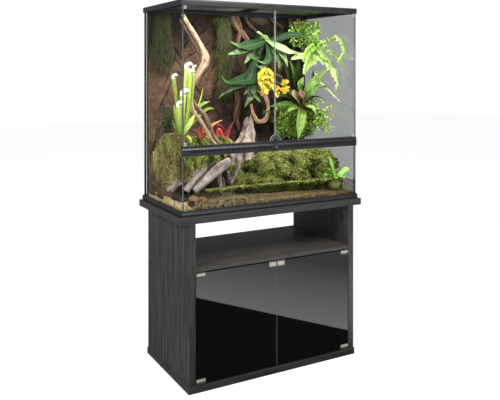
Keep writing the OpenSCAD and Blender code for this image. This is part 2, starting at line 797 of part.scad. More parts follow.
module top_frame() color([0.05, 0.05, 0.055]) difference() {
    moulded([[rim_out - 1.5, rim_z0], [rim_out, rim_z0 + 2], [rim_out, tank_z1 - 6],
        [rim_out - 0.9, tank_z1 - 2.4], [rim_out - 3.4, tank_z1]],
        tank_w, tank_d, rim_out);
    // The opening, with a ledge under the screen cover
    span([-open_x, open_y0, screen_z0 - seat], [open_x, open_y1, tank_z1 + 1]);
    span([-open_x + screen_ledge, open_y0 + screen_ledge, rim_z0 - 1],
        [open_x - screen_ledge, open_y1 - screen_ledge, tank_z1]);
    // The channels for the panes
    for (s = [-1, 1]) at_side(s) {
        span([pane_in, -pane_y, rim_z0 - 1], [pane_x, pane_y, pane_z1]);
        translate([tpivot_x, tpivot_y, rim_z0 - 1])
            cylinder(h = tpivot_l + 2, r = tpivot_d / 2 + run_gap);
        // The pocket and axle hole of a screen latch
        span([open_x - 1, turn_y - turn_w / 2 - 2, tank_z1 - latch_pocket],
            [turn_x + turn_w / 2 + 2, turn_y + turn_l + 2, tank_z1 + 1]);
        translate([turn_x, turn_y, rim_z0 + 6])
            cylinder(h = rim_h, r = turn_axle / 2 + run_gap);
        // The cable inlet and the track of its gate
        span([gate_x - inlet_l / 2, gate_y - inlet_d / 2, rim_z0 - 1],
            [gate_x + inlet_l / 2, gate_y + inlet_d / 2, tank_z1 + 1]);
        span([gate_x - inlet_l / 2 - gate_over - 1, gate_y - inlet_d / 2 - gate_over - 1,
                gate_z - 0.2],
            [gate_x + inlet_l * 1.5 + gate_over + 1, gate_y + inlet_d / 2 + gate_over + 1,
                tank_z1 + 1]);
    }
    span([-pane_in, pane_y_in, rim_z0 - 1], [pane_in, pane_y, pane_z1]);
}

module tank_door(s) at_side(s)
    span([tdoor_x0, tdoor_y0, tdoor_z0], [tdoor_x1, tdoor_y1, tdoor_z1]);

module tank_door_left() color([0.7, 0.8, 0.78, 0.35]) tank_door(-1);

module tank_door_right() color([0.7, 0.8, 0.78, 0.35]) tank_door(1);

// A shoe on the door's upper outer corner, with its web ending at web_z
module pivot_shoe(web_z, pin_z) {
    difference() {
        span([tdoor_x1 - shoe_w, tdoor_y0 - shoe_wall, tdoor_z1 - shoe_h],
            [tdoor_x1, tdoor_y1 + shoe_wall, web_z]);
        span([tdoor_x1 - shoe_w - 1, tdoor_y0, tdoor_z1 - shoe_h - 1],
            [tdoor_x1 + 1, tdoor_y1, tdoor_z1]);
    }
    translate([tpivot_x, tpivot_y, web_z]) cylinder(h = pin_z - web_z, d = tpivot_d);
}

module pivot_shoes(s) at_side(s) {
    low_web = tdoor_low_gap - thrust_gap;
    pivot_shoe(tdoor_z1 + shoe_wall, rim_z0 + tpivot_l);
    flipped((tdoor_z0 + tdoor_z1) / 2)
        pivot_shoe(tdoor_z1 + low_web, tdoor_z1 + tdoor_low_gap + tpivot_l);
}

module pivot_shoes_left() color([0.75, 0.77, 0.78]) pivot_shoes(-1);

module pivot_shoes_right() color([0.75, 0.77, 0.78]) pivot_shoes(1);

module edge_seal(s) at_side(s) difference() {
    span([seal_gap / 2, tdoor_y0 - seal_lip, tdoor_z0 + handle_r + 2],
        [tdoor_x0 + seal_grip, tdoor_y1 + seal_lip, tdoor_z1]);
    span([tdoor_x0, tdoor_y0, tdoor_z0], [far, tdoor_y1, tdoor_z1 + 1]);
}

module edge_seal_left() color([0.7, 0.75, 0.72]) edge_seal(-1);

module edge_seal_right() color([0.7, 0.75, 0.72]) edge_seal(1);

// A quarter disc with a raised rim and a finger lip at its foot
module door_handle(s) at_side(s) {
    rim = 3.2;
    curl = 8;
    translate([seal_gap / 2, tdoor_y0, tdoor_z0]) rotate([90, 0, 0]) {
        linear_extrude(handle_t) quarter(handle_r);
        linear_extrude(handle_t + handle_rim) difference() {
            quarter(handle_r);
            quarter(handle_r - rim);
        }
        linear_extrude(handle_t + handle_rim) difference() {
            translate([handle_r + curl / 2, curl]) circle(curl);
            translate([handle_r + curl / 2, curl]) circle(curl - rim);
            translate([0, curl]) square([handle_r + 2 * curl, curl]);
            square([handle_r - 1, 2 * curl]);
        }
    }
}

module quarter(r) intersection() {
    circle(r);
    square(r);
}

module door_handle_left() color([0.12, 0.12, 0.13]) door_handle(-1);

module door_handle_right() color([0.12, 0.12, 0.13]) door_handle(1);

// The tongue hangs down while the doors are free, and turns up before them
module lock_knob() color([0.2, 0.2, 0.21])
    translate([0, strip_y0 - seat, lock_z]) rotate([90, 0, 0]) {
        nose = 4;
        taper = 3;
        rib_w = 3;
        rib_h = 1.6;
        linear_extrude(lock_t) {
            circle(d = lock_w);
            translate([-lock_w / 2, nose - lock_l]) square([lock_w, lock_l - nose]);
            translate([taper - lock_w / 2, -lock_l]) square([lock_w - 2 * taper, nose + 1]);
        }
        translate([0, 0, lock_t]) linear_extrude(rib_h)
            translate([-rib_w / 2, nose + rib_w - lock_l]) square([rib_w, lock_l - 2 * nose]);
        translate([0, 0, -lock_axle_l]) cylinder(h = lock_axle_l, d = lock_axle);
    }

// ---------- screen cover ----------

module screen_frame() color([0.06, 0.06, 0.065]) difference() {
    span([-screen_x, screen_y0, screen_z0], [screen_x, screen_y1, screen_z1]);
    for (s = [-1, 1]) at_side(s)
        span([screen_bar / 2, screen_y0 + screen_bar, screen_z0 - 1],
            [screen_x - screen_bar, screen_y1 - screen_bar, screen_z1 + 1]);
    mesh_sheet();
}

module mesh_sheet() {
    hold = 4;
    span([-screen_x + screen_bar - hold, screen_y0 + screen_bar - hold, mesh_z],
        [screen_x - screen_bar + hold, screen_y1 - screen_bar + hold, mesh_z + screen_mesh_t]);
}

module screen_mesh() color([0.25, 0.25, 0.26]) mesh_sheet();

module screen_latch(s) at_side(s) translate([turn_x, turn_y, tank_z1 - turn_t - 0.3]) {
    linear_extrude(turn_t) {
        circle(d = turn_w);
        translate([-turn_w / 2, 0]) square([turn_w, turn_l - 3]);
        translate([0, turn_l - 3]) intersection() {
            circle(d = turn_w);
            translate([-turn_w, 0]) square([2 * turn_w, 3]);
        }
    }
    translate([0, 0, -8]) cylinder(h = 8, d = turn_axle);
}

module screen_latch_left() color([0.08, 0.08, 0.085]) screen_latch(-1);

module screen_latch_right() color([0.08, 0.08, 0.085]) screen_latch(1);

module cable_gate(s) at_side(s) {
    span([gate_x - inlet_l / 2 - gate_over, gate_y - inlet_d / 2 - gate_over, gate_z],
        [gate_x + inlet_l / 2 + gate_over, gate_y + inlet_d / 2 + gate_over, gate_z + gate_t - 1]);
    for (k = [-1 : 1])
        span([gate_x + 5 * k - 1, gate_y - inlet_d / 3, gate_z + gate_t - 1],
            [gate_x + 5 * k + 1, gate_y + inlet_d / 3, gate_z + gate_t]);
}

module cable_gate_left() color([0.08, 0.08, 0.085]) cable_gate(-1);

module cable_gate_right() color([0.08, 0.08, 0.085]) cable_gate(1);

// ---------- landscape ----------

// Places of the plants: held by the rock background, the gravel or the roots
stag_at = [pane_in - 296, rock_y - 78, floor_z + 747];
orchid_at = [pane_in - 300, rock_y - 60, floor_z + 505];
brom_high = [pane_in - 122, rock_y - 92, floor_z + 440];
brom_low = [pane_in - 262, rock_y - 100, floor_z + 345];
fern_at = [pane_in - 62, rock_y - 84, floor_z + 672];
root_at = [-pane_in + 255, 10, gravel_z1];
root_top = gravel_z1 + 196;

// Slow waves that lump the soil and the rock, between 0 and 1
function lumps(x, y) = 0.5 + 0.25 * sin(3.1 * x + 1.7 * y) + 0.25 * sin(2.3 * y - 4.3 * x + 40);
function ease(t) = let (u = min(max(t, 0), 1)) u * u * (3 - 2 * u);

// How deep the rock is hollowed at x, z: none where a plant is held
pegs = [stag_at, orchid_at, brom_high, brom_low, fern_at];
function held(x, z) = min([for (p = pegs) ease((norm([x - p[0], z - p[2]]) - 45) / 50)]);
function crag(x, z) = max(0, min(1, 0.5 + 0.42 * sin(1.9 * x + 40 * sin(0.9 * z))
    + 0.33 * sin(2.7 * z + 1.3 * x) + 0.2 * sin(7 * x - 3 * z)));

module rock_background() color([0.36, 0.2, 0.14]) {
    cols = 18;
    rows = 17;
    translate([0, rock_y1, 0]) rotate([90, 0, 0]) ground([for (r = [0 : rows - 1])
        [for (c = [0 : cols - 1])
            let (x = -soil_x + 2 * soil_x * c / (cols - 1),
                z = floor_z + (rock_z1 - floor_z) * r / (rows - 1))
            [x, z, rock_t - rock_relief * held(x, z) * crag(x, z)]]], 0);
}

module gravel_bed() color([0.6, 0.5, 0.38])
    translate([0, grow_y, 0]) rotate([90, 0, 0]) linear_extrude(grow_y - soil_y0)
    polygon([[-soil_x, floor_z], [soil_x, floor_z], [soil_x, gravel_z0],
        [-pane_in + 345, gravel_z0], [-pane_in + 305, gravel_z1], [-soil_x, gravel_z1]]);

// The tan branch leans from the gravel to the top of the tank
branch_path = [
    [-pane_in + 283, -106, gravel_z1 + 4],
    [-pane_in + 283, -106, gravel_z1 + 36],
    [-pane_in + 258, -118, floor_z + 165],
    [-pane_in + 226, -116, floor_z + 281],
    [-pane_in + 183, -80, floor_z + 351],
    [-pane_in + 124, -20, floor_z + 480],
    [-pane_in + 169, 20, floor_z + 573],
    [-pane_in + 238, 60, floor_z + 644],
    [-pane_in + 222, 90, floor_z + 740],
    [-pane_in + 152, 120, floor_z + 848]];

module driftwood_branch() color([0.62, 0.47, 0.33]) {
    steps = 27;
    thick = [26, 25, 22, 19, 18, 17, 16, 15, 13, 9];
    path = route(branch_path, steps);
    girth = route(thick, steps);
    sweep(path, [for (g = girth) g], [for (i = [0 : steps]) girth[i] * (0.82 + 0.1 * sin(100 * i))],
        8, [0, 1, 0.1]);
    limb = route([branch_path[7], branch_path[7] + [36, 14, 44], branch_path[7] + [52, 20, 110]], 5);
    sweep(limb, [9, 8, 7, 6, 5, 3], [9, 8, 7, 6, 5, 3], 6, [0, 1, 0]);
    for (k = [0 : 7]) {
        p = path[3 + 3 * k];
        hull() {
            translate(p) sphere(girth[3 + 3 * k] * 0.8, $fn = 6);
            translate(p + girth[3 + 3 * k] * [0.7 * cos(90 * k), -0.5, 0.7 * sin(90 * k)])
                sphere(girth[3 + 3 * k] * 0.35, $fn = 6);
        }
    }
}

// Each root is [compass, reach, height where it leaves the crown, thickness]
root_fan = [[205, 166, 60, 11], [224, 150, 96, 12], [243, 128, 70, 10], [262, 122, 118, 12],
    [286, 74, 84, 11], [312, 100, 104, 11], [340, 92, 64, 10]];

module tangled_roots() color([0.36, 0.28, 0.22]) {
    cut = root_top - root_at[2];
    intersection() {
        union() {
            sweep([root_at + [0, 0, 2], root_at + [0, 0, cut * 0.5], root_at + [0, 0, cut + 8]],
                [47, 34, 27], [45, 33, 26], 9, [1, 0, 0]);
            for (k = [0 : 7]) hull() {
                bulge = root_at + [25 * cos(97 * k), 25 * sin(97 * k), 22 + 20 * k];
                translate(bulge) rotate(17 * k) sphere(15, $fn = 4);
                translate(bulge - [7 * cos(97 * k), 7 * sin(97 * k), 21]) sphere(12, $fn = 4);
            }
            for (r = root_fan) {
                d = [cos(r[0]), sin(r[0]), 0];
                path = route([root_at + 10 * d + [0, 0, r[2]], root_at + r[1] * 0.45 * d + [0, 0, r[2] * 0.8],
                    root_at + r[1] * 0.8 * d + [0, 0, r[2] * 0.3], root_at + r[1] * d + [0, 0, 9]], 7);
                g = [for (k = [0 : 7]) r[3] * (1.2 - 0.11 * k)];
                sweep(path, g, g, 6, [-d[1], d[0], 0]);
            }
        }
        span([-pane_in, -pane_y_in + 10, gravel_z1 + seat], [0, rock_y, root_top]);
    }
}

// The stump flares at its foot, and is a little flatter than it is wide
stump_flat = 0.92;
stump_at = [-pane_in + 485, rock_y - 62, gravel_z0];

module stump() color([0.42, 0.36, 0.30]) {
    rows = 9;
    n = 12;
    path = [for (i = [0 : rows]) stump_at + [10 * sin(60 * max(i - 1, 0)), 0, seat + stump_h * i / rows]];
    girth = [for (i = [0 : rows])
        stump_neck + (stump_foot - stump_neck) * pow(1 - i / rows, 2) + 4 * sin(140 * i)];
    sweep(path, girth, [for (g = girth) g * stump_flat], n, [1, 0, 0]);
}

// The left hill is a mound beside the side pane, where the pitcher plants stand on a
// level place, and it slopes down to the roots. The right hill slopes to the shore. Its
// back stops short of the stump, and reaches the rock beside it.
mound_x = -pane_in + 73;
mound_front = 25;
mound_h = 245;
mound_fall = 105;
moss_bed = 12;
level_r = 50;
mound_z = gravel_z1 + moss_bed + mound_h;
shore_x0 = root_at[0] + 105;
shore_d = 195.5;
hill_gap = 10;
function past_mound(x) = ease((x - mound_x) / 24);
function left_front(x) = -pane_y_in
    + (1 - past_mound(x)) * mound_front + past_mound(x) * (168 + 0.22 * (x + soil_x));
function left_hill(x, y) = let (
    start = ease((y - left_front(x) + 14) / (60 + 130 * past_mound(x))),
    side = exp(-pow(max(0, x - mound_x) / 100, 2)),
    level = ease((norm([x - pitcher_at[0], y - pitcher_at[1]]) - level_r) / 40),
    fall = mound_fall * ease((y + pane_y_in - 180) / 200))
    gravel_z1 + moss_bed + start * side * (mound_h - fall)
    + 14 * level * lumps(x * 1.6, y * 1.6);
function shore(x) = soil_y0 + shore_d - 0.25 * (x - shore_x0);
function hill_back(x) = let (
    front = stump_at[1] - stump_foot * stump_flat - hill_gap,
    beside = ease((x - stump_at[0] - stump_foot - hill_gap) / 26))
    front + (grow_y - seat - front) * beside;
function right_hill(x, y) = let (s = y - shore(x)) gravel_z0 + 30
    + 142 * (1 - exp(-max(s, 0) / 75)) * (0.72 + 0.28 * ease((x - shore_x0 + 5) / 260))
    + 20 * lumps(x * 1.3, y * 1.5);

module moss_hills() color([0.33, 0.42, 0.12]) {
    cols = 14;
    rows = 10;
    left_x1 = root_at[0] - 62;
    left_rows = 12;
    ground([for (r = [0 : left_rows - 1]) [for (c = [0 : 8])
        let (x = -soil_x + (left_x1 + soil_x) * c / 8,
            y = left_front(x) + (grow_y - seat - left_front(x)) * r / (left_rows - 1))
        [x, y, r == 0 ? gravel_z1 + 9 : left_hill(x, y)]]], gravel_z1);
    ground([for (r = [0 : rows - 1]) [for (c = [0 : cols - 1])
        let (x = shore_x0 + (soil_x - shore_x0) * c / (cols - 1),
            y = shore(x) + (hill_back(x) - shore(x)) * r / (rows - 1))
        [x, y, r == 0 ? gravel_z0 + 22 : right_hill(x, y)]]], gravel_z0);
}

// A curtain hangs flat against the rock: x0 to x1, foot z0 ragged
module curtain(x0, x1, z0, z1, thick) {
    cols = 6;
    rows = 8;
    translate([0, grow_y, 0]) rotate([90, 0, 0]) ground([for (r = [0 : rows - 1])
        [for (c = [0 : cols - 1])
            let (x = x0 + (x1 - x0) * c / (cols - 1),
                low = z0 + 34 * lumps(x * 5, 0),
                z = low + (z1 - low) * r / (rows - 1))
            [x, z, thick * (0.45 + 0.4 * lumps(x * 2, z) + (c % (cols - 1) == 0 ? -0.2 : 0.1))]]], 0);
}

// Both end below the opening in the top frame
module moss_curtains() color([0.34, 0.38, 0.14]) {
    curtain_drop = 2;
    curtain_z1 = rock_z1 - curtain_drop;
    curtain(-102, -8, floor_z + 470, curtain_z1, 26);
    curtain(-soil_x + 2, -pane_in + 118, floor_z + 600, curtain_z1, 24);
}

// A pitcher: a slender trumpet with an upright hood
module pitcher(p, top, mouth) {
    steps = 4;
    path = route([p, p * 0.5 + top * 0.5 + [0, 4, -12], top], steps);
    r = [for (k = [0 : steps]) 3 + (mouth - 3) * pow(k / steps, 1.6)];
    sweep(path, r, r, 6, [0, 1, 0]);
    hood = [top + [0, mouth * 0.6, -3], top + [0, mouth * 0.9, mouth * 1.1],
        top + [0, 0, mouth * 2.2], top + [0, -mouth * 1.1, mouth * 2.5]];
    sweep(hood, [mouth * 0.5, mouth * 1.15, mouth * 1.2, mouth * 0.3], [1, 1, 1, 0.8], 4, [1, 0, 0]);
}

// They grow on the left hill, each mouth at [from the pane, depth, height]
pitcher_at = [-pane_in + 48, -pane_y_in + 132, mound_z];
pitcher_tops = [[24, 162, 470], [38, 108, 540], [62, 150, 600], [84, 112, 470], [32, 84, 400],
    [92, 86, 385], [52, 172, 420]];

module pitcher_plants() color([0.62, 0.72, 0.25]) {
    foot = pitcher_at + [0, 0, seat];
    translate(foot) cylinder(h = 28, r = 16, $fn = 8);
    crown(foot + [0, 0, 30], 19);
    for (k = [0 : len(pitcher_tops) - 1]) {
        t = pitcher_tops[k];
        pitcher(foot + [8 * cos(40 * k), 8 * sin(40 * k), 30],
            [-pane_in + t[0], -pane_y_in + t[1], floor_z + t[2]], mouth_r);
    }
    for (k = [0 : 3]) strap(foot + [0, 0, 34], -86 + 42 * k, 105, 40, 0.45, 16, 4);
}

// A frond that widens and forks: each is [compass, length, rise, droop, width]
fronds = [[196, 250, 18, 0.55, 46], [212, 330, -8, 0.75, 44], [236, 260, -14, 0.8, 42],
    [262, 210, 20, 0.7, 44], [300, 215, 30, 0.55, 46], [328, 190, 30, 0.3, 42],
    [348, 150, 4, 0.5, 36], [180, 190, 52, 0.35, 38]];

module frond(f) {
    steps = 4;
    az = f[0];
    d = [cos(az), sin(az), 0];
    path = [for (k = [0 : steps]) let (t = k / steps)
        stag_at + f[1] * 0.72 * (d * cos(f[2]) * t + [0, 0, sin(f[2]) * t - f[3] * t * t])];
    sweep(path, [for (k = [0 : steps]) 4 + (f[4] / 2 - 4) * ease(k / steps)],
        [for (k = [0 : steps]) leaf_t / 2], 4, [-d[1], d[0], 0]);
    end = path[steps];
    fall = along(path, steps);
    for (fork = [-1, 0, 1]) {
        out = unit(fall + fork * 0.55 * [-d[1], d[0], 0]);
        root = end - fall * 6 + fork * f[4] * 0.27 * [-d[1], d[0], 0];
        tip = f[1] * (0.34 - 0.06 * abs(fork));
        sweep([root, root + out * tip * 0.5, root + out * tip + [0, 0, -tip * 0.2]],
            [f[4] * 0.23, f[4] * 0.17, 2.2], [leaf_t / 2, leaf_t / 2, leaf_t / 4], 4,
            [-d[1], d[0], 0]);
    }
}

module staghorn_fern() color([0.12, 0.30, 0.10]) {
    peg(stag_at, 14);
    crown(stag_at, 24);
    for (f = fronds) frond(f);
}

// Sprays of small five-petalled flowers on arching stems
spray_tips = [[-66, -112, 58], [-30, -140, 80], [12, -134, 52], [-34, -150, 16],
    [46, -124, 8], [-2, -158, -20]];

module blossom(p, az) translate(p) rotate([68, 0, az]) linear_extrude(3)
    polygon([for (k = [0 : 9]) (k % 2 == 0 ? 15 : 5) * [cos(36 * k), sin(36 * k)]]);

module yellow_orchid() color([0.85, 0.78, 0.10]) {
    peg(orchid_at, 12);
    crown(orchid_at, 18);
    for (k = [0 : len(spray_tips) - 1]) {
        tip = orchid_at + spray_tips[k];
        stem = route([orchid_at, orchid_at + spray_tips[k] * 0.5 + [0, 0, 46], tip], 3);
        sweep(stem, [2.4, 2.2, 2, 1.8], [2.4, 2.2, 2, 1.8], 4, [1, 0, 0.1]);
        blossom(tip + [0, 1, 0], 14 * k - 60);
        blossom(stem[2] + [0, 1, 0], 60 - 17 * k);
    }
    for (k = [0 : 3]) strap(orchid_at, 200 + 44 * k, 120, 55, 0.55, 18, 4);
}

module bromeliads() color([0.36, 0.55, 0.14]) {
    peg(brom_high, 15);
    rosette(brom_high, 9, 152, 26, 0.42, 30, 172, 136);
    peg(brom_low, 13);
    rosette(brom_low, 8, 108, 26, 0.3, 24, 206, 120);
}

// A fern frond: a narrow blade whose edge steps in and out with its leaflets
module lace_frond(p, az, length, rise, bend, width) {
    steps = 11;
    path = [for (k = [0 : steps]) let (t = k / steps)
        p + length * [cos(az) * cos(rise) * t, sin(az) * cos(rise) * t,
            sin(rise) * t - bend * t * t]];
    wide = [for (k = [0 : steps]) let (t = k / steps)
        max(1, (k % 2 == 0 ? 0.45 : 1) * width / 2 * sin(180 * (0.08 + 0.88 * t)))];
    sweep(path, wide, [for (k = [0 : steps]) leaf_t / 2], 4, [-sin(az), cos(az), 0]);
}

module lace_ferns() color([0.52, 0.75, 0.20]) {
    peg(fern_at, 13);
    crown(fern_at, 20);
    for (k = [0 : 7]) lace_frond(fern_at, 220 + 9 * k, 190 + 22 * (k % 3), 38 - 12 * (k % 3),
        0.42 + 0.1 * (k % 2), 44);
    lace_frond(fern_at, 266, 262, 30, 0.36, 46);
}

// A cushion of small leaves on the rock, under the bromeliads
module creeping_fig() color([0.28, 0.45, 0.12]) {
    cols = 13;
    rows = 8;
    x0 = pane_in - 215;
    z0 = floor_z + 262;
    z1 = floor_z + 404;
    translate([0, grow_y, 0]) rotate([90, 0, 0]) ground([for (r = [0 : rows - 1])
        [for (c = [0 : cols - 1])
            let (u = c / (cols - 1), v = r / (rows - 1),
                x = x0 + (soil_x - 1 - x0) * u, z = z0 + (z1 - z0) * v)
            [x, z, 16 + 62 * sin(180 * (0.08 + 0.84 * v)) * sin(180 * (0.1 + 0.6 * u))
                + 14 * lumps(x * 3, z * 4)]]], 0);
}

module red_bromeliad() color([0.62, 0.20, 0.08]) {
    p = [root_at[0] + 2, root_at[1] - 2, root_top + seat];
    translate(p) cylinder(h = 12, r = 9, $fn = 8);
    rosette(p + [0, 0, 16], 10, 88, 24, 0.3, 20, 10, 360, 3);
}

// It floats at the right, held by the shore
module floating_rosette() color([0.55, 0.72, 0.25]) {
    x = soil_x - float_leaf - 10;
    p = [x, shore(x) - 32, gravel_z0 + seat];
    stem = 48;
    translate(p) cylinder(h = stem, r = 3, $fn = 8);
    rosette(p + [0, 0, stem - 2], 7, float_leaf, 44, 0.25, 17, 0, 360, 3);
}

// ---------- assembly ----------

plinth();
side_panel_left();
side_panel_right();
shelf();
top_board();
back_panel();
board_dowels();
cam_locks();
pivot_bushes();
cabinet_door_left();
cabinet_door_right();
corner_clips_left();
corner_clips_right();
clip_screws_left();
clip_screws_right();
strike_clip_left();
strike_clip_right();
touch_latches();
latch_plunger_left();
latch_plunger_right();
base_frame();
glass_bottom();
glass_left();
glass_right();
glass_back();
glass_front();
silicone_seams();
vent_strip();
vent_mesh();
top_frame();
tank_door_left();
tank_door_right();
pivot_shoes_left();
pivot_shoes_right();
edge_seal_left();
edge_seal_right();
door_handle_left();
door_handle_right();
lock_knob();
screen_frame();
screen_mesh();
screen_latch_left();
screen_latch_right();
cable_gate_left();
cable_gate_right();
rock_background();
gravel_bed();
driftwood_branch();
tangled_roots();
stump();
moss_hills();
moss_curtains();
pitcher_plants();
staghorn_fern();
yellow_orchid();
bromeliads();
lace_ferns();
creeping_fig();
red_bromeliad();
floating_rosette();
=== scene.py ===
import math

import bpy
import numpy as np
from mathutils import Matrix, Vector


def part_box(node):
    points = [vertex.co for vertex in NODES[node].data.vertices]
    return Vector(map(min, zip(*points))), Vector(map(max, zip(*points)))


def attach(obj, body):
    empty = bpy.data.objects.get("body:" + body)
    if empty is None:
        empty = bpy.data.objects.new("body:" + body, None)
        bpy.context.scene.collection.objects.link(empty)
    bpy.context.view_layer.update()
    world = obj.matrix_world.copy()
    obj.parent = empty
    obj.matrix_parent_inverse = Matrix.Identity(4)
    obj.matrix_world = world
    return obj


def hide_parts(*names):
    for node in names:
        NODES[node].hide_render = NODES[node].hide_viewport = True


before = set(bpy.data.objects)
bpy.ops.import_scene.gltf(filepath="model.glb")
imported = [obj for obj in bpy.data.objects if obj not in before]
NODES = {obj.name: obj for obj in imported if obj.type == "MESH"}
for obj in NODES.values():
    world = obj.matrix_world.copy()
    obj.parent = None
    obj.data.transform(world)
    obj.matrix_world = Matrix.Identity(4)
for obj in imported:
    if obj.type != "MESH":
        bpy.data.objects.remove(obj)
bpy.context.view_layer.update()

rng = np.random.default_rng(7)
MM = 0.001

# ---------- the camera, at the photograph's viewing angle ----------

FOCAL = 674.82  # in pixels of a 500 by 400 picture
YAW = math.radians(29.08)
EYE = (-1.56274, -2.80373, 1.33893)
HORIZON = 71.7  # the picture row at the height of the eye
INSIDE = 0.436  # the furthest a plant reaches towards a side pane

scene = bpy.context.scene
camera = bpy.data.objects.new("camera", bpy.data.cameras.new("camera"))
scene.collection.objects.link(camera)
camera.location = EYE
camera.rotation_euler = (math.radians(90), 0, -YAW)
camera.data.sensor_width = 36
camera.data.lens = 36 * FOCAL / 500
camera.data.shift_y = -0.2566
camera.data.clip_end = 60
scene.camera = camera
scene.view_settings.view_transform = "Standard"


def at(u, v, y):
    """The place inside the tank, y millimetres deep, that shows at u, v of the picture."""
    dx = FOCAL * math.sin(YAW) + (u - 250) * math.cos(YAW)
    dy = FOCAL * math.cos(YAW) - (u - 250) * math.sin(YAW)
    s = (y * MM - EYE[1]) / dy
    for side in (-INSIDE, INSIDE):
        if abs(EYE[0] + s * dx) > INSIDE and (EYE[0] + s * dx) * side > 0:
            s = (side - EYE[0]) / dx
    return (EYE[0] + s * dx, EYE[1] + s * dy, EYE[2] + s * (HORIZON - v))


def seen(co):
    """Where points show in the picture: the reverse of at."""
    a, b = co[..., 0] - EYE[0], co[..., 1] - EYE[1]
    deep = a * math.sin(YAW) + b * math.cos(YAW)
    u = 250 + FOCAL * (a * math.cos(YAW) - b * math.sin(YAW)) / deep
    return u, HORIZON - FOCAL * (co[..., 2] - EYE[2]) / deep


def route(*stops):
    """Places for picture points; a place given as an array stays as it is."""
    return [stop if isinstance(stop, np.ndarray) else at(*stop) for stop in stops]


def unit(v):
    return v / np.maximum(np.linalg.norm(v, axis=-1, keepdims=True), 1e-12)


def compass(degrees):
    a = math.radians(degrees)
    return np.array((math.cos(a), math.sin(a), 0))


def ease(t):
    u = np.clip(t, 0, 1)
    return u * u * (3 - 2 * u)


def smooth(points, steps):
    """A Catmull-Rom curve of steps + 1 points through the rows of points."""
    p = np.asarray(points, float)
    n = len(p) - 1
    t = np.linspace(0, n, steps + 1)
    i = np.minimum(t.astype(int), n - 1)
    u = (t - i).reshape(-1, *[1] * (p.ndim - 1))
    a, b, c, d = p[np.maximum(i - 1, 0)], p[i], p[i + 1], p[np.minimum(i + 2, n)]
    return 0.5 * (2 * b + (c - a) * u + (2 * a - 5 * b + 4 * c - d) * u**2
                  + (3 * b - a - 3 * c + d) * u**3)


def waves(x, z, seed, octaves=5, scale=1.0):
    """Smooth random relief, built from turned sine waves, between about -1 and 1."""
    own = np.random.default_rng(seed)
    total = np.zeros_like(x)
    for k in range(octaves):
        for _ in range(3):
            a, phase = own.uniform(0, 2 * math.pi, 2)
            f = scale * 1.9**k * own.uniform(0.8, 1.25)
            total += 0.62**k * np.sin(f * (x * math.cos(a) + z * math.sin(a)) + phase
                                      + 1.5 * np.sin(0.7 * f * (z * math.cos(a) - x * math.sin(a))))
    return total / 4.2


# ---------- mesh building ----------

TANK_LOW = (-0.4446, -0.2194, 0.7502)
TANK_HIGH = (0.4446, 0.2194, 1.6168)


def linked(name, data):
    made = bpy.data.objects.new(name, data)
    scene.collection.objects.link(made)
    return made


def rim(co):
    """The points around a grid, in order."""
    return np.concatenate([co[0], co[1:, -1], co[-1, -2::-1], co[-2:0:-1, 0]])


